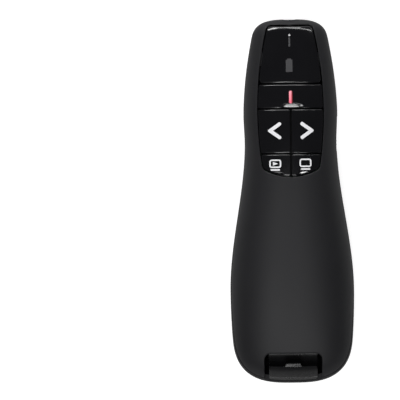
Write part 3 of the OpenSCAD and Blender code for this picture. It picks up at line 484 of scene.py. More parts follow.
# -------- upper case half
# Moulded black ABS sprayed with a soft-touch coat. The keypad opening's edge is rounded, and the tail is
# notched for the receiver.
keypad_w, keypad_side_r, keypad_top_y, keypad_low_y = 21.0, 113, 55.7, 10.4
keypad_sag, keypad_corner, keypad_mid_y, keypad_hole_z = 2.9, 1.9, 28.3, 12.5
panel_low_y, laser_low_y, arrow_low_y, key_gap, split_gap = 36.95, 29.1, 14.9, 0.4, 0.6
upper_lip, keypad_round, notch_round = 0.4, 0.35, 0.5


def keypad_side(y):
    """Half the keypad's width at y: a large circle's arc."""
    return keypad_w / 2 - keypad_side_r + np.sqrt(keypad_side_r ** 2 - (y - keypad_mid_y) ** 2)


def keypad_bottom(x):
    """The keypad's lower edge at x: a parabola that hangs below its corners."""
    return keypad_low_y - keypad_sag * (1 - np.clip(np.abs(x) / keypad_side(keypad_low_y), 0, 1) ** 2)


def rounded(right, top, left, low, steps=9):
    """Points and outward normals round four curves that run counter-clockwise and meet at their ends: each
    curve's own normals, and at each corner the normals turned in even steps from one curve's to the
    next's."""
    points, turns = [], []
    for here, after in ((right, top), (top, left), (left, low), (low, right)):
        t, t_after = np.gradient(here, axis=0), np.gradient(after, axis=0)
        a, b = np.arctan2(-t[:, 0], t[:, 1]), math.atan2(-t_after[0, 0], t_after[0, 1])
        points += [here, np.repeat(here[-1:], steps, 0)]
        turn = (b - a[-1] + math.pi) % (2 * math.pi) - math.pi
        turns += [a, np.linspace(a[-1], a[-1] + turn, steps + 2)[1:-1]]
    turns = np.concatenate(turns)
    return np.concatenate(points), np.column_stack([np.cos(turns), np.sin(turns)])


def keypad_part(x0, x1, y0, y1, inset, corner, n=28):
    """The keypad's outline between two sides and two ends, set in: a bowed side where x is None, and the
    hanging lower edge where y0 is None. Returns the points set in by a corner radius more, and the normals.
    The two low corners are where side and edge meet, found by going from one to the other in turn."""
    i = inset + corner
    k, s = key_gap / 2 + corner, split_gap / 2 + corner
    low = (lambda x: keypad_bottom(x) + i) if y0 is None else (lambda x: y0 + k + 0 * x)
    high = y1 - (i if y1 == keypad_top_y else k)
    right = (lambda y: keypad_side(y) - i) if x1 is None else (lambda y: x1 - s + 0 * y)
    left = (lambda y: -keypad_side(y) + i) if x0 is None else (lambda y: x0 + s + 0 * y)
    low_right, low_left = keypad_w / 2, -keypad_w / 2
    for _ in range(7):
        low_right, low_left = right(low(low_right)), left(low(low_left))
    y_up, y_down = np.linspace(low(low_right), high, n), np.linspace(high, low(low_left), n)
    x_top, x_low = np.linspace(right(high), left(high), n), np.linspace(low_left, low_right, n)
    return rounded(np.column_stack([right(y_up), y_up]), np.column_stack([x_top, high + 0 * x_top]),
                   np.column_stack([left(y_down), y_down]), np.column_stack([x_low, low(x_low)]))


def flat_box(x0, x1, y0, y1, corner, n=24):
    """Points and normals round a rectangle, set in by its corner radius."""
    x0, x1, y0, y1 = x0 + corner, x1 - corner, y0 + corner, y1 - corner
    x, y = np.linspace(x0, x1, n), np.linspace(y0, y1, n)
    return rounded(np.column_stack([x1 + 0 * y, y]), np.column_stack([x[::-1], y1 + 0 * x]),
                   np.column_stack([x0 + 0 * y, y[::-1]]), np.column_stack([x, y0 + 0 * x]))


def opening_tool(points, normals, corner, edge, low):
    """A cutter that leaves a rounded edge: at a depth d under the back the outline grows by
    edge - sqrt(edge^2 - (edge - d)^2)."""
    t = np.radians(np.linspace(8, 90, 8))[:, None]
    depth, grow = edge * (1 - np.cos(t)), edge * (1 - np.sin(t))
    flat = points + normals * (corner + np.concatenate([grow[:1], grow, [[0]]]))[..., None]
    z = np.maximum(back_z(flat[1:-1, :, 0], flat[1:-1, :, 1]) - depth, low + 1.6 - depth)
    level = np.ones((1, len(points)))
    z = np.concatenate([far_out * level, z, low * level])
    return make("tool", stack(np.concatenate([flat, z[..., None]], -1)))


upper_shell = shell("upper_case", True, upper_lip, 280, 120)
notch_edge = flat_box(-notch_w / 2, notch_w / 2, tail_y - 6, tail_y + notch_len - 0.4, notch_corner)
keypad_edge = keypad_part(None, None, None, keypad_top_y, 0, keypad_corner)
carve(upper_shell, opening_tool(*keypad_edge, keypad_corner, keypad_round, keypad_hole_z),
      opening_tool(*notch_edge, notch_corner, notch_round, notch_z))
for x, y, _ in case_screws_at:
    top = back_z(abs(x) + boss_d / 2, y) - root
    carve(upper_shell, prism(circle(x, y, boss_d / 2), seam_z(y) + 0.2, top), how="UNION")
    carve(upper_shell, prism(circle(x, y, pilot_d / 2), 5, top - 0.8))
carve(upper_shell, nose_tool())


def surfaced(name, tones, patch, gloss, grain, depth, shader, stretch=(1, 1, 1), span=(0.35, 0.65),
             relief=0.5):
    """A finish whose colour and gloss drift between two values over patches of that size, under a relief of
    that grain and depth (all in mm). Span is the part of the pattern over which they drift, relief the
    bump's strength, and stretch draws the patterns out, as brushing and drawing do."""
    made, tree, spot = new_finish(name)
    drawn = add(tree, "Mapping", {"Scale": stretch}, {"Vector": spot})
    drift = add(tree, "TexNoise", {"Scale": 1 / (patch * mm), "Detail": 3.0}, {"Vector": drawn})
    fine = add(tree, "TexNoise", {"Scale": 1 / (grain * mm), "Detail": 2.0}, {"Vector": drawn})
    tone = add(tree, "ValToRGB", {"stops": zip(span, tones)}, {"Fac": drift})
    limits = dict(zip(("From Min", "From Max", "To Min", "To Max"), (*span, *gloss)))
    sheen = add(tree, "MapRange", limits, {"Value": drift})
    bump = add(tree, "Bump", {"Strength": relief, "Distance": depth * mm}, {"Height": fine})
    surface = add(tree, "BsdfPrincipled", shader, {"Base Color": tone, "Roughness": sheen, "Normal": bump})
    add(tree, "OutputMaterial", {}, {"Surface": surface})
    return made


# soft-touch polyurethane coat on ABS: no texture to speak of, and a broad, silky sheen
soft_touch = surfaced("soft_touch_coat", ("#18181A", "#1D1D1F"), 14, (0.5, 0.58), 0.35, 0.015,
                      {"IOR": 1.49, "Specular IOR Level": 0.21}, span=(0, 1), relief=0.12)
fit(upper_shell, "root", soft_touch, ["top_shell"])

# -------- display panel and keys
# Polished black acrylic and ABS caps with rounded edges, sitting just below the edge of the case. Each key
# has a stem that stands on its switch.
key_sink, key_t, side_roll, end_roll, key_corner, key_flange = 0.15, 1.6, 0.05, 0.35, 0.5, 0.28
panel_t, panel_roll, panel_corner = key_t + 0.5, 0.6, key_corner + 0.9
plunger_top_z, stem_d = 20.4, 2.4


def key_top(x, y):
    """Height of the keys' faces: the back, set down."""
    return back_z(x, y) - key_sink


def laid(flat, z):
    """Flat points (..., 2) at their heights z (...), as points (..., 3)."""
    return np.concatenate([flat, z[..., None]], -1)


def rolled(normals, side, end):
    """Radius of a cap's rolled edge by its outward normal: one value at the sides, another at the ends."""
    return side + (end - side) * normals[:, 1] ** 2


def key_cap(points, normals, corner, edge, thick, top=key_top, way=1, flange=0.0, under=None):
    """A cap grid: rings that grow from the middle over the face, round the edge, down the side, round a low
    flange on it, and back to the middle underneath. Its face is the top function, and it is built down from
    there, or up with way -1; its lower rings hang from the under function where there is one."""
    t, n, face = np.radians(np.linspace(0, 90, 9))[1:], len(points), 25
    # rows up to face lie on the face, up to side on the rolled edge, and up to foot on the side and flange
    side, foot = face + len(t), face + len(t) + 5
    edge, flange = np.broadcast_to(edge, n), np.broadcast_to(flange, n)
    scale = np.concatenate([np.linspace(0, 1, face + 1)[1:], np.ones(13), np.linspace(1, 0, 6)[1:-1]])
    inset = np.concatenate([np.outer([1] * face + [*(1 - np.sin(t)), 0], edge),
                            np.outer([-1, -1] + 6 * [0], flange)])
    low = np.repeat([thick - 0.95, thick - 0.5, thick], (2, 2, 5))
    depth = np.concatenate([np.outer([0] * face + [*(1 - np.cos(t))], edge), np.outer(low, np.ones(n))])
    middle = points.mean(0)
    flat = middle + scale[:, None, None] * (points + (corner - inset)[..., None] * normals - middle)
    z = top(flat[..., 0], flat[..., 1]) - way * depth
    if under:
        z[side:] = under(flat[side:, :, 0], flat[side:, :, 1]) - depth[side:]
        z[side:foot] = np.minimum(z[side:foot], z[side - 1])
    high = float(top(*middle))
    return stack(laid(flat, z), [*middle, high], [*middle, high - way * thick])


def stem(x, y):
    """A key's stem: a turned rod from its switch's plunger up into the cap."""
    r, high = stem_d / 2, float(key_top(x, y)) - key_t + 0.3
    return stack([np.insert(circle(x, y, q, 32), 2, z, 1)
                  for q, z in ((r - 0.2, plunger_top_z), (r, plunger_top_z + 0.2), (r, high))])


# polished acrylic: a hard, mirror-like black with the faintest moulding waves
polished_black, tree, spot = new_finish("polished_black_acrylic")
waves = add(tree, "TexNoise", {"Scale": 1 / (9 * mm), "Detail": 1.0}, {"Vector": spot})
wipes = add(tree, "TexNoise", {"Scale": 1 / (3 * mm), "Detail": 4.0}, {"Vector": spot})
shine = add(tree, "MapRange", {"To Min": 0.1, "To Max": 0.16}, {"Value": wipes})
bump = add(tree, "Bump", {"Strength": 0.3, "Distance": 0.02 * mm}, {"Height": waves})
tone = add(tree, "ValToRGB", {"stops": ((0, "#09090B"), (1, "#0D0D0F"))}, {"Fac": waves})
surface = add(tree, "BsdfPrincipled", {"IOR": 1.49}, {"Base Color": tone, "Roughness": shine, "Normal": bump})
add(tree, "OutputMaterial", {}, {"Surface": surface})

panel_lines = keypad_part(None, None, panel_low_y, keypad_top_y, key_gap, panel_corner)
panel_edge = rolled(panel_lines[1], side_roll, panel_roll)
fit(make("display_window", key_cap(*panel_lines, panel_corner, panel_edge, panel_t)), "root", polished_black,
    ["display_panel"])
# a thumb facet at the lower edge of the laser key and of the two lower keys: middle, low edge, half width,
# height
facet_lean, facet_power = math.tan(math.radians(19.2)), 2.6
facets = {"laser": (0.5, 29.3, 3.4, 1.6), "slideshow": (-4.7, 7.9, 2.4, 1.35), "blank": (4.6, 7.7, 2.9, 1.7)}


def faceted_top(name):
    """The face of a key with its facet: under the arch of a superellipse the face turns down towards the
    tail, to a plane's lean, blended over a few hundredths of a millimetre."""
    if name not in facets:
        return key_top
    x0, y0, half, high = facets[name]

    def top(x, y):
        line = y0 + high * cap(np.abs((x - x0) / half), facet_power)
        below = np.clip(line - y, 0, None)
        slope = (key_top(x, line + 0.05) - key_top(x, line - 0.05)) / 0.1
        return key_top(x, y) - below ** 2 / (below + 0.03) * (facet_lean - slope)
    return top


# each key's sides and ends, None where it meets the case, and where its stem stands
keys = {"laser": ((None, None, laser_low_y, panel_low_y), (0, 32.85)),
        "previous": ((None, 0, arrow_low_y, laser_low_y), (-5, 21.95)),
        "next": ((0, None, arrow_low_y, laser_low_y), (5, 21.95)),
        "slideshow": ((None, 0, None, arrow_low_y), (-4.7, 11.7)),
        "blank": ((0, None, None, arrow_low_y), (4.7, 11.7))}
for name, (bounds, stem_at) in keys.items():
    lines = keypad_part(*bounds, key_gap, key_corner)
    # the flange runs along the sides that face the case, where it shuts most of the gap
    to_case = [way * lines[1][:, axis] for bound, way, axis in zip(bounds, (-1, 1, -1), (0, 0, 1))
               if bound is None]
    rim = key_flange * np.clip(3 * np.max(to_case, 0) - 2, 0, 1)
    fit(make(name + "_keycap", key_cap(*lines, key_corner, rolled(lines[1], side_roll, end_roll), key_t,
                                       faceted_top(name), flange=rim, under=key_top), stem(*stem_at)),
        name + "_button", polished_black, [name + "_key"])

# -------- printed marks
# Pad-printed ink on the panel and the keys: arrow heads, a screen with a triangle, a blank screen, a
# battery, a light and its line, and a red bar on the laser key.
ink_t = 0.03


def travelled(line):
    """Distance along a line at each of its points."""
    return np.concatenate([[0], np.cumsum(np.linalg.norm(np.diff(line, axis=0), axis=1))])


def along(line, n):
    """Points spaced evenly along a line, with its own corners kept."""
    line = np.asarray(line, float)
    d = travelled(line)
    t = np.unique(np.concatenate([np.linspace(0, d[-1], n), d]))
    return np.column_stack([np.interp(t, d, line[:, 0]), np.interp(t, d, line[:, 1])])


def stroke(line, width, top=key_top, closed=False, round_ends=True):
    """An ink ribbon carried along a line: at each point half the width to both sides, square to the mean of
    the two directions there and longer at corners; round ends narrow as sqrt(1 - (1 - d / r)^2)."""
    if closed:
        before, after = line - np.roll(line, 1, 0), np.roll(line, -1, 0) - line
    else:
        step = np.diff(line, axis=0)
        before, after = np.concatenate([step[:1], step]), np.concatenate([step, step[-1:]])
    before, after = (v / np.linalg.norm(v, axis=1, keepdims=True) for v in (before, after))
    mean = before + after
    mean /= np.linalg.norm(mean, axis=1, keepdims=True)
    side = np.column_stack([mean[:, 1], -mean[:, 0]]) / np.clip((mean * after).sum(1, keepdims=True), 0.82, 1)
    half = np.broadcast_to(np.asarray(width, float) / 2, len(line)).copy()
    if round_ends and not closed:
        d = travelled(line)
        half *= cap(1 - np.minimum(np.minimum(d, d[-1] - d) / half, 1), 2)
    flat = line[:, None] + side[:, None] * (half[:, None] * np.linspace(-1, 1, 5))[..., None]
    upper, lower = (laid(flat, top(flat[..., 0], flat[..., 1]) + t) for t in (ink_t, -ink_t))
    ribbon = np.concatenate([upper, lower[:, ::-1]], 1)
    return ribbon if round_ends or closed else stack(ribbon)


def ink(name, low, high):
    """Epoxy pad-printing ink: opaque and satin, a little uneven where it was pressed on."""
    made, tree, spot = new_finish(name)
    film = add(tree, "TexNoise", {"Scale": 1 / (0.5 * mm), "Detail": 2.0}, {"Vector": spot})
    tone = add(tree, "ValToRGB", {"stops": ((0, low), (1, high))}, {"Fac": film})
    surface = add(tree, "BsdfPrincipled", {"Roughness": 0.45, "IOR": 1.5}, {"Base Color": tone})
    add(tree, "OutputMaterial", {}, {"Surface": surface})
    return made


white_ink = ink("white_pad_print", "#CECED0", "#D8D8DA")
grey_ink = ink("grey_pad_print", "#303032", "#363638")
pale_ink = ink("pale_pad_print", "#A6A6A8", "#B2B2B3")
arrow_x, arrow_y, arrow_dx, arrow_dy, arrow_line, tip_round = 6.55, 22.2, 2.98, 2.13, 1.1, 0.4


def arrow_head(s):
    """Two round-ended bars that meet in a tip on the side s: sides half a width off both centre lines, half
    circles at the ends, and an arc of tip_round in the tip. Rings shrink to where the centre lines meet."""
    r, lean = arrow_line / 2, math.atan2(arrow_dy, arrow_dx)
    u, out = np.array([-math.cos(lean), math.sin(lean)]), np.array([math.sin(lean), math.cos(lean)])
    t = np.linspace(math.pi / 2, -math.pi / 2, 17)[:, None]
    end = np.array([-arrow_dx, arrow_dy]) + r * (np.cos(t) * u + np.sin(t) * out)
    v = np.linspace(lean - math.pi / 2, math.pi / 2 - lean, 9)
    tip = np.column_stack([(r - tip_round) / math.sin(lean) + tip_round * np.cos(v), tip_round * np.sin(v)])
    line = np.concatenate([tip, end, [(-r / math.sin(lean), 0)], end[::-1] * (1, -1), tip[:1]])
    line, middle = (along(line, 200)[:-1] * (s, 1))[::s], np.array([s * arrow_x, arrow_y])
    flat = middle + np.array([*np.linspace(0, 1, 9)[1:], 1, 0.5])[:, None, None] * line
    level = np.repeat([ink_t, -ink_t], (8, 2))[:, None]
    z = float(key_top(*middle))
    rings = laid(flat, key_top(flat[..., 0], flat[..., 1]) + level)
    return stack(rings, [*middle, z + ink_t], [*middle, z - ink_t])


for name, s in (("previous", -1), ("next", 1)):
    fit(make(name + "_mark", arrow_head(s)), name + "_button", white_ink)

# a screen's frame over a bar, with a triangle in the slideshow key's
screen_w, screen_h, screen_corner, screen_line = 3.3, 2.2, 0.55, 0.46
bar_half, bar_drop, bar_line = 1.5, 1.95, 0.52
for name, x, y in (("slideshow", -5.03, 11.8), ("blank", 4.5, 12.0)):
    screen = round_box(x - screen_w / 2, x + screen_w / 2, y - screen_h / 2, y + screen_h / 2, screen_corner)
    screen = along(np.vstack([screen, screen[:1]]), 96)[:-1]
    marks = [stroke(along([(x - bar_half, y - bar_drop), (x + bar_half, y - bar_drop)], 30), bar_line)]
    if name == "slideshow":
        play = along([(x - 0.75, y), (x + 0.85, y)], 16)
        marks.append(stroke(play, np.linspace(1.15, 0.02, len(play)), round_ends=False))
    frame_line = stroke(screen, screen_line, closed=True)
    fit(make(name + "_mark", *marks, loops=[frame_line]), name + "_button", white_ink)

# a battery whose nub starts at nub_y, with a line above it, and the light over that
nub_y = 44.605
cell_line = along([(-0.3, 40.75), (-0.3, nub_y - 0.005), (-0.3, nub_y + 0.005), (-0.3, 44.95)], 40)
fit(make("battery_mark", stroke(cell_line, np.where(cell_line[:, 1] < nub_y, 2.1, 1.2), round_ends=False),
         stroke(along([(-0.15, 48.7), (-0.15, 51.7)], 30), 0.55)), "root", grey_ink)
fit(make("light_mark", stroke(along([(-0.12, 52.0), (-0.12, 52.7)], 24), 0.68)), "root", pale_ink)

# red ink, paler towards its upper end, with painted shade along its right edge: a dark red there stands in for
# the shadow beside the bar
red_ink_and_painted_shade, tree, spot = new_finish("red_pad_print_and_painted_shade")
axes = add(tree, "SeparateXYZ", {}, {"Vector": spot}).outputs
# painted shade: this mask turns the bar's right edge dark red
right_edge_shade = add(tree, "MapRange", {"From Min": 0.2 * mm, "From Max": 0.45 * mm}, {"Value": axes["X"]})
up_there = add(tree, "MapRange", {"From Min": 31 * mm, "From Max": 34.8 * mm}, {"Value": axes["Y"]})
pinks = add(tree, "Mix", {"data_type": "RGBA", 6: linear("#E8647A"), 7: linear("#F09AA6")}, {0: up_there})
reds_and_painted_shade = add(tree, "Mix", {"data_type": "RGBA", 7: linear("#6E0A16")}, {0: right_edge_shade, 6: pinks.outputs[2]})
surface = add(tree, "BsdfPrincipled", {"Roughness": 0.4, "IOR": 1.5}, {"Base Color": reds_and_painted_shade.outputs[2]})
add(tree, "OutputMaterial", {}, {"Surface": surface})
fit(make("laser_mark", stroke(along([(0.1, 30.75), (0.1, 34.8)], 50), 1.1, faceted_top("laser"))),
    "laser_button", red_ink_and_painted_shade)

# -------- battery door
# Grained black ABS like the lower half, flush with it, with thumb grooves, a moulded arrow, a latch finger at
# its tail end and a tab that hooks over the case at its nose end.
door_gap, door_t, door_edge = 0.15, 1.6, 0.3
tab_half, tab_t, tab_reach, finger_half, finger_t, finger_high = 1.3, 0.8, 3.35, 2.5, 0.9, 1.9
tab_y, tab_z, finger_y = door_nose_y - door_gap - 1.2, wall + 0.21, door_tail_y + door_gap

door_lines = flat_box(-door_w / 2 + door_gap, door_w / 2 - door_gap, finger_y, door_nose_y - door_gap,
                      door_corner)
door = make("battery_cover", key_cap(*door_lines, door_corner, door_edge, door_t, belly_z, -1))
carve(door, prism(round_box(-tab_half, tab_half, tab_y, tab_y + 1.2, 0.1), door_t - 0.1, tab_z + tab_t),
      prism(round_box(-tab_half, tab_half, tab_y, tab_y + tab_reach, 0.2), tab_z, tab_z + tab_t),
      prism(round_box(-finger_half, finger_half, finger_y, finger_y + finger_t, 0.2),
            door_t - 0.1, door_t + finger_high), how="UNION")
ridge = [(0, -4), (0.55, -4), (0.75, -3.8), (0.75, 3.8), (0.55, 4), (0, 4)]
carve(door, *(turned("tool", ridge, (0, door_tail_y + 3 + 1.2 * i, -0.6), "x", 32) for i in range(5)))
carve(door, prism([(-2.2, -34.6), (2.2, -34.6), (0, -31.8)], -1, 0.25))
fit(door, "door", grained_abs, ["battery_door"])

# -------- USB receiver
# Two satin black ABS halves round the plug's root, their ends shaped to the tail. A dip in the upper half,
# with a bump in its middle, gives the fingertip a hold to pull it out.
receiver_w, receiver_low_z, receiver_top_z, receiver_split_z, receiver_nose_y = 15.3, 13.7, 20.0, 15.6, -38
dip_y, dip_z, dip_r, dip_round, bump_half, bump_out = -48.1, 20.8, 4.2, 0.45, 2.5, 1.2


def receiver_blank(inset):
    """The receiver's rounded bar along the case, kept to the inside of the tail's own shape, set in."""
    outline = round_box(-receiver_w / 2 + inset, receiver_w / 2 - inset, receiver_low_z + inset,
                        receiver_top_z - inset, 1.4 - inset, 10)
    bar = [np.insert(outline, 1, y, 1) for y in (tail_y - 1, receiver_nose_y - inset)]
    o = 0.3 + skin + inset
    body = round_row(np.linspace(0, 2 * math.pi, 180, endpoint=False)[None, :],
                     stations(tail_y + o, -30, 160)[:, None], o, -99)
    tail = make("tool", stack(body[1:], body[0].mean(0)))
    return carve(make("tool", stack(bar)), tail, how="INTERSECT")


def dip_tool():
    """The dip: a profile in (y, z) with a rounded edge at the tail and a round hollow, carried across; in the
    middle its tail wall steps forward round the bump."""
    f_y, f_z = dip_y - dip_r * math.cos(math.radians(17)) - dip_round, receiver_top_z - dip_round
    t, u = np.radians(np.linspace(80, 0, 8)), np.radians(np.linspace(20, 165, 30))
    y = np.concatenate([[-62, -62], f_y + dip_round * np.cos(t), dip_y - dip_r * np.cos(u), [-43.9, -43.9]])
    z = np.concatenate([[30, 20.3], f_z + dip_round * np.sin(t), dip_z - dip_r * np.sin(u), [22, 30]])
    push = np.concatenate([[0, 0], np.ones(8), np.clip(1.4 - u, 0, 0.9) / 0.9, [0, 0]])
    x = np.array([-10, *np.linspace(-3.4, 3.4, 41), 10])[:, None]
    s = ease((bump_half + 0.35 - np.abs(x)) / 0.7)
    return make("tool", stack(np.stack(np.broadcast_arrays(x, y + bump_out * s * push, z), -1)))


def block(half_w, y0, y1, z0, z1):
    """A plain rectangular cutter, as wide to the left as to the right."""
    return prism([(-half_w, y0), (half_w, y0), (half_w, y1), (-half_w, y1)], z0, z1)


# ABS from a stoned mould: satin, its gloss drifting a little from place to place
satin_abs, tree, spot = new_finish("satin_black_abs")
drift = add(tree, "TexNoise", {"Scale": 1 / (3 * mm), "Detail": 3.0}, {"Vector": spot})
gloss = add(tree, "MapRange", {"To Min": 0.24, "To Max": 0.32}, {"Value": drift})
tone = add(tree, "ValToRGB", {"stops": ((0, "#0F0F10"), (1, "#141415"))}, {"Fac": drift})
surface = add(tree, "BsdfPrincipled", {"IOR": 1.5, "Specular IOR Level": 0.25},
              {"Base Color": tone, "Roughness": gloss})
add(tree, "OutputMaterial", {}, {"Surface": surface})

# the halves meet in a fine groove, and hold the plug's root and the board in pockets
split_groove, groove_depth = 0.12, 0.25
plug_pocket, board_half_w, board_nose_y = (6.02, -40.62, -10, 14.58, 19.12), 6.75, -38.9
for name, node, low, high, board_pocket in (
        ("receiver_lower_half", "receiver_base", 0, receiver_split_z, (-53.5, board_nose_y, 14.73, 30)),
        ("receiver_upper_half", "receiver_cap", receiver_split_z + 0.02, 30,
         (-43.4, board_nose_y, 13, 19.1))):
    half = receiver_blank(0)
    half.name = name
    if node == "receiver_cap":
        carve(half, dip_tool())
    carve(half, block(20, -70, 0, low, high), how="INTERSECT")
    band = carve(block(20, -70, 0, receiver_split_z - split_groove, receiver_split_z + split_groove),
                 receiver_blank(groove_depth))
    carve(half, band, block(*plug_pocket), block(board_half_w, *board_pocket))
    fit(half, "receiver", satin_abs, [node])

# -------- laser in the nose
# A turned ring of black ABS pressed into the nose holds a small window of clear red acrylic. Behind it are a
# turned brass barrel with its lens, and the diode on its own board.
ring_low_y, ring_high_y, ring_edge, window_seat_y, ledge_r = 54.7, 57.3, 0.3, 56.5, 1.7


def dress(finish, *nodes):
    """Gives solids of the frame their finish, in every material slot."""
    for node in nodes:
        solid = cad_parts[node]
        if not solid.material_slots:
            solid.data.materials.append(finish)
        for place in solid.material_slots:
            place.material = finish


# ABS as it leaves a polished mould: satin black with faint flow marks
moulded_abs = surfaced("moulded_black_abs", ("#141416", "#1A1A1C"), 6, (0.38, 0.46), 0.4, 0.01, {"IOR": 1.5})
t, hole_r, ring_r = np.radians(np.linspace(90, 0, 7)), window_d / 2, bezel_d / 2
ring_profile = np.concatenate([
    [(ledge_r, ring_low_y), (ledge_r, window_seat_y), (hole_r, window_seat_y), (hole_r, ring_high_y - 0.15),
     (hole_r + 0.15, ring_high_y)],
    (ring_r - ring_edge, ring_high_y - ring_edge) + ring_edge * np.column_stack([np.cos(t), np.sin(t)]),
    [(ring_r, ring_low_y)]])
fit(turned("laser_ring", ring_profile, (0, 0, barrel_z), "y", 72, loop=True), "root", moulded_abs,
    ["laser_bezel"])

# cast acrylic dyed red: dark ruby seen from outside, clear to the laser
red_acrylic = surfaced("clear_red_acrylic", ("#7A0E16", "#8A121A"), 3, (0.03, 0.05), 1, 0.002,
                       {"IOR": 1.49, "Transmission Weight": 0.85})
window_r = hole_r - 0.025
glass = [(0, 0), (window_r, 0), (window_r, 0.42), (window_r - 0.08, 0.5), (1.2, 0.53), (0, 0.55)]
fit(turned("laser_glass", glass, (0, window_seat_y, barrel_z), "y", 72), "root", red_acrylic,
    ["laser_window"])

# brass off the lathe: fine rings round its axis, 0.05 mm apart, drawn at 0.2 mm so that they show
dress(surfaced("turned_brass", ("#B08A42", "#C39B50"), 4, (0.22, 0.3), 0.2, 0.006, {"Metallic": 1.0},
               (0.04, 1, 0.04)), "laser_barrel", "laser_diode")
# moulded acrylic lens: clear with a slight edge tint
dress(surfaced("moulded_acrylic_lens", ("#E6F0F4", "#F2F8FA"), 5, (0.02, 0.04), 2, 0.001,
               {"IOR": 1.49, "Transmission Weight": 0.95}), "laser_lens")
# glass-epoxy laminate: matt solder mask over a mesh of copper tracks about 0.4 mm apart, drawn 1.6 mm apart,
# which read as paler lines
solder_mask, tree, spot = new_finish("green_solder_mask")
mesh = {"feature": "DISTANCE_TO_EDGE", "distance": "CHEBYCHEV", "Scale": 1 / (1.6 * mm)}
cells = add(tree, "TexVoronoi", mesh, {"Vector": spot}).outputs["Distance"]
tracks = add(tree, "ValToRGB", {"stops": ((0.05, "#17492F"), (0.12, "#0B2E1D"))}, {"Fac": cells})
lift = add(tree, "Bump", {"Strength": 0.4, "Distance": 0.03 * mm, "invert": True}, {"Height": cells})
surface = add(tree, "BsdfPrincipled", {"Roughness": 0.5, "IOR": 1.5, "Specular IOR Level": 0.25},
              {"Base Color": tracks, "Normal": lift})
add(tree, "OutputMaterial", {}, {"Surface": surface})
dress(solder_mask, "laser_board", "main_board", "receiver_board")
# nickel plating over sheet: pale, slightly warm metal with fine rolling lines
nickel_sheet = surfaced("nickel_plated_sheet", ("#B9B7B2", "#CFCDC8"), 5, (0.2, 0.32), 0.15, 0.004,
                        {"Metallic": 1.0}, (1, 0.06, 1))
dress(nickel_sheet, "laser_leads")

# -------- power switch
# A ribbed slider of moulded ABS in the right side. Its plate slides behind the case wall and takes the lever
# of the switch on the board along. OFF and ON are pad-printed at the two ends.
slider_y, slider_len, slider_h, slider_x = 19.5, 5.0, 3.4, 14.1
plate_x, plate_t, plate_past, plate_low_z, plate_high_z = 12.2, 1, 1.5, 8.0, 15.55
ribs, rib_pitch, rib_w, rib_x = 4, 1.2, 0.6, 14.49
lever_play = 0.05
lever_low, lever_high = (np.array(c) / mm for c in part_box("power_lever"))


def cushion_block(half_len, z0, z1, corner, x0, x1, edge, y=slider_y):
    """A block that stands out of the side: a round-cornered outline from x0 to x1, its outer edge rolled off
    in a quarter circle."""
    t, rings = np.radians(np.linspace(0, 90, 6)), []
    for inset, x in zip([0, *edge * (1 - np.cos(t))], [x0, *(x1 - edge + edge * np.sin(t))]):
        outline = round_box(y - half_len + inset, y + half_len - inset, z0 + inset, z1 - inset,
                            max(corner - inset, 0.02))
        rings.append(np.insert(outline, 0, x, 1))
    return make("tool", stack(rings))


slider_low, slider_high = slot_z - slider_h / 2, slot_z + slider_h / 2
slider = cushion_block(slider_len / 2 + plate_past, plate_low_z, plate_high_z, 0.4,
                       plate_x - plate_t, plate_x, 0.1)
slider.name = "power_slider_knob"
carve(slider, cushion_block(slider_len / 2, slider_low, slider_high, 0.5, plate_x - 0.3, slider_x, 0.25),
      *(cushion_block(rib_w / 2, slider_low + 0.15, slider_high - 0.15, 0.15, slider_x - 0.3, rib_x, 0.14,
                      slider_y + (i - (ribs - 1) / 2) * rib_pitch) for i in range(ribs)), how="UNION")
(_, low_y, low_z), (high_x, high_y, high_z) = lever_low - lever_play, lever_high + lever_play
carve(slider, across(round_box(low_y, high_y, low_z, high_z, 0.05, 2), 5, high_x))
# fine-textured ABS, a shade paler than the case
textured_abs = surfaced("textured_grey_abs", ("#2A2A2D", "#323236"), 4, (0.42, 0.5), 0.25, 0.015,
                        {"IOR": 1.5})
fit(slider, "power_slider", textured_abs, ["power_knob"])


def side_word(word, y, z, size):
    """Lettering printed on the right side: flat letters made a mesh, then each point (u, v) laid at y + u, z
    + v on the side's own surface, half the ink's thickness out and in."""
    text = bpy.data.curves.new("letters", "FONT")
    text.body, text.size, text.extrude, text.align_x, text.align_y = word, size, 0.5, "CENTER", "CENTER"
    letters = show("letters", text)
    bpy.context.view_layer.update()
    mesh = bpy.data.meshes.new_from_object(letters.evaluated_get(bpy.context.evaluated_depsgraph_get()))
    bpy.data.objects.remove(letters)
    flat = np.empty(len(mesh.vertices) * 3)
    mesh.vertices.foreach_get("co", flat)
    u, v, w = flat.reshape(-1, 3).T
    high = np.abs(z + v - equator_z) / np.where(z + v > equator_z, rise(y + u, skin), drop(y + u, skin))
    x = half_width(y + u, skin) * cap(high, 2.7) + np.sign(w) * ink_t
    mesh.vertices.foreach_set("co", (np.column_stack([x, y + u, z + v]) * mm).ravel())
    closed(mesh)
    fit(show(word.lower() + "_mark", mesh), "root", white_ink)


side_word("OFF", 11.6, slot_z, 2.1)
side_word("ON", 30.0, slot_z, 2.1)

# stamped, nickel-plated cover of the switch, and the lever's black nylon
moulded_nylon = surfaced("black_moulded_nylon", ("#1B1B1D", "#232326"), 3, (0.45, 0.55), 0.3, 0.01,
                         {"IOR": 1.53})
dress(nickel_sheet, "power_switch")
dress(moulded_nylon, "power_lever")

# -------- cells and contacts
# Two AAA cells side by side, head to tail: a steel can in a shrunk film jacket that turns in over both ends.
# Tapering springs press on their flat ends; nickel-plated strips join them.
cell_r, button_r, button_len, jacket_turn, jacket_hole_r, jacket_t = 5.25, 1.9, 0.8, 0.5, 4.05, 0.12
band_start, band_fade = 32, 0.1


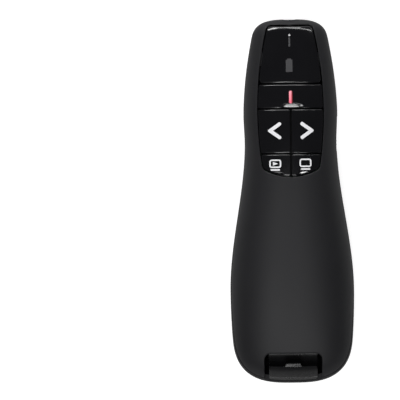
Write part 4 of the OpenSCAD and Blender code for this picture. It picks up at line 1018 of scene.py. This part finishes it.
def cell(name, foot, length, way):
    """One cell, turned round its axis from the foot, the middle of its flat end: flat end, jacket edge,
    straight can, jacket edge, shoulder and button."""
    top, bend = length - button_len, cell_r - jacket_turn
    t = np.radians(np.linspace(0, 90, 7))
    low = np.column_stack([bend + jacket_turn * np.sin(t), jacket_turn * (1 - np.cos(t))])
    high = np.column_stack([bend + jacket_turn * np.cos(t), top - jacket_turn + jacket_turn * np.sin(t)])
    can_r = jacket_hole_r - 0.15
    profile = np.concatenate([
        [(0, jacket_t), (can_r, jacket_t), (jacket_hole_r, 0)], low, high,
        [(jacket_hole_r, top), (can_r, top - jacket_t), (button_r + 0.3, top - jacket_t), (button_r, top),
         (button_r, length - 0.15), (button_r - 0.15, length), (0, length)]])
    return turned(name, profile * (1, way), foot, "y", 64)


def jacket_film(name, foot, way):
    """A printed film jacket on a cell whose flat end's middle is the foot: black with a copper-coloured band
    over the quarter next to the button, and bare plated steel inside the jacket's hole at both ends."""
    made, tree, spot = new_finish(name)
    local = add(tree, "Mapping", {"Location": tuple(-foot * mm)}, {"Vector": spot})
    axes = add(tree, "SeparateXYZ", {}, {"Vector": local}).outputs
    level = add(tree, "CombineXYZ", {}, {"X": axes["X"], "Z": axes["Z"]})
    radius = add(tree, "VectorMath", {"operation": "LENGTH"}, {0: level}).outputs["Value"]
    bare = add(tree, "MapRange", {"From Min": (jacket_hole_r + 0.07) * mm,
                                  "From Max": (jacket_hole_r - 0.05) * mm}, {"Value": radius})
    band = add(tree, "MapRange", {"From Min": way * (band_start - band_fade) * mm,
                                  "From Max": way * (band_start + band_fade) * mm}, {"Value": axes["Y"]})
    film = add(tree, "TexNoise", {"Scale": 1 / (2 * mm), "Detail": 3.0}, {"Vector": spot})
    print_on = add(tree, "Mix", {"data_type": "RGBA", 6: linear("#17181A"), 7: linear("#B4703A")}, {0: band})
    whole = add(tree, "Mix", {"data_type": "RGBA", 7: linear("#C4C3BF")}, {0: bare, 6: print_on.outputs[2]})
    metal = add(tree, "Math", {"operation": "MAXIMUM"}, {0: bare, 1: band})
    gloss = add(tree, "MapRange", {"To Min": 0.24, "To Max": 0.36}, {"Value": film})
    relief = add(tree, "Bump", {"Strength": 0.3, "Distance": 0.02 * mm}, {"Height": film})
    surface = add(tree, "BsdfPrincipled", {"IOR": 1.5},
                  {"Base Color": whole.outputs[2], "Metallic": metal, "Roughness": gloss, "Normal": relief})
    add(tree, "OutputMaterial", {}, {"Surface": surface})
    return made


for side, way in (("left", 1), ("right", -1)):
    low, high = (np.array(c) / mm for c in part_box("cell_" + side))
    foot = np.array([(low[0] + high[0]) / 2, low[1] if way > 0 else high[1], (low[2] + high[2]) / 2])
    fit(cell("aaa_cell_" + side, foot, high[1] - low[1], way), "root",
        jacket_film("cell_jacket_" + side, foot, way), ["cell_" + side])
dress(nickel_sheet, "cell_plate_left", "cell_plate_right", "cell_bridge")
# spring steel wire, drawn and nickel plated: bright with lines along the wire
dress(surfaced("nickel_plated_wire", ("#AEADAA", "#C6C5C1"), 2, (0.18, 0.28), 0.1, 0.003, {"Metallic": 1.0}),
      "cell_spring_left", "cell_spring_right")

# -------- frame, chassis and fasteners
# The frame round the keys and the chassis that holds cells and receiver are black ABS, moulded and left
# plain. Zinc-plated pan-head screws hold the case and the board.
dress(moulded_abs, "chassis")
# the key frame: dull black ABS painted darker than the case's, as painted shade, so that the gaps between the
# keys stay black
dress(surfaced("dull_black_abs_painted_shade", ("#060607", "#0A0A0B"), 5, (0.62, 0.7), 0.3, 0.01,
               {"IOR": 1.5, "Specular IOR Level": 0.15}), "key_frame")
# zinc plating: bluish grey, a little mottled
dress(surfaced("zinc_plated_steel", ("#8E9196", "#A4A7AB"), 0.8, (0.3, 0.42), 0.2, 0.005, {"Metallic": 1.0}),
      "case_screws", "board_screws")

# -------- board and its parts
# Five dome switches stand in pale nylon housings with black plungers; a radio chip, its crystal in a plated
# can, chip resistors and capacitors, and two light diodes under a clear guide sit on the board.
dress(surfaced("pale_moulded_nylon", ("#C9C6BC", "#D8D5CC"), 2, (0.4, 0.5), 0.25, 0.01,
               {"IOR": 1.53, "Subsurface Weight": 0.1, "Subsurface Radius": (mm, mm, mm)}),
      *(key + "_switch" for key in keys))
dress(moulded_nylon, *(key + "_plunger" for key in keys))
# filled epoxy, transfer moulded: matt near-black with a fine sparkle of filler
dress(surfaced("moulded_chip_epoxy", ("#1A1A1B", "#242425"), 0.4, (0.5, 0.62), 0.15, 0.01, {"IOR": 1.55}),
      "radio_chip", "receiver_chip")
dress(nickel_sheet, "crystal")
# fired ceramic: matt tan, speckled
dress(surfaced("fired_chip_ceramic", ("#A88A64", "#BFA27A"), 0.3, (0.45, 0.6), 0.15, 0.006, {"IOR": 1.6}),
      "chip_parts")
# cast epoxy: milky and faintly green, lets light through
dress(surfaced("cast_diode_epoxy", ("#DDE6CF", "#EAF0DE"), 1, (0.12, 0.2), 0.4, 0.003,
               {"IOR": 1.52, "Transmission Weight": 0.3}), "battery_light", "signal_light")
# polished acrylic bar: clear
dress(surfaced("clear_acrylic_guide", ("#E8EEF0", "#F4F7F8"), 4, (0.03, 0.06), 1.5, 0.002,
               {"IOR": 1.49, "Transmission Weight": 0.9}), "light_guide")

# -------- receiver's plug
# A nickel-plated sheet shell, folded round a white nylon tongue with four gold-plated contacts. It is held
# by its root between the receiver's halves.
dress(surfaced("folded_nickel_sheet", ("#BDBCB8", "#D2D1CD"), 6, (0.16, 0.26), 0.12, 0.003, {"Metallic": 1.0},
               (1, 0.05, 1)), "plug_shell")
# nylon filled with glass: white, satin
dress(surfaced("white_moulded_nylon", ("#D9D9DA", "#E6E6E6"), 2, (0.38, 0.48), 0.2, 0.008, {"IOR": 1.53}),
      "plug_tongue")
# gold over nickel: warm yellow with wiping marks along the plug
dress(surfaced("gold_plated_contact", ("#D8A84A", "#E6BC62"), 1.5, (0.16, 0.24), 0.1, 0.002,
               {"Metallic": 1.0}, (1, 0.1, 1)), "plug_contacts")
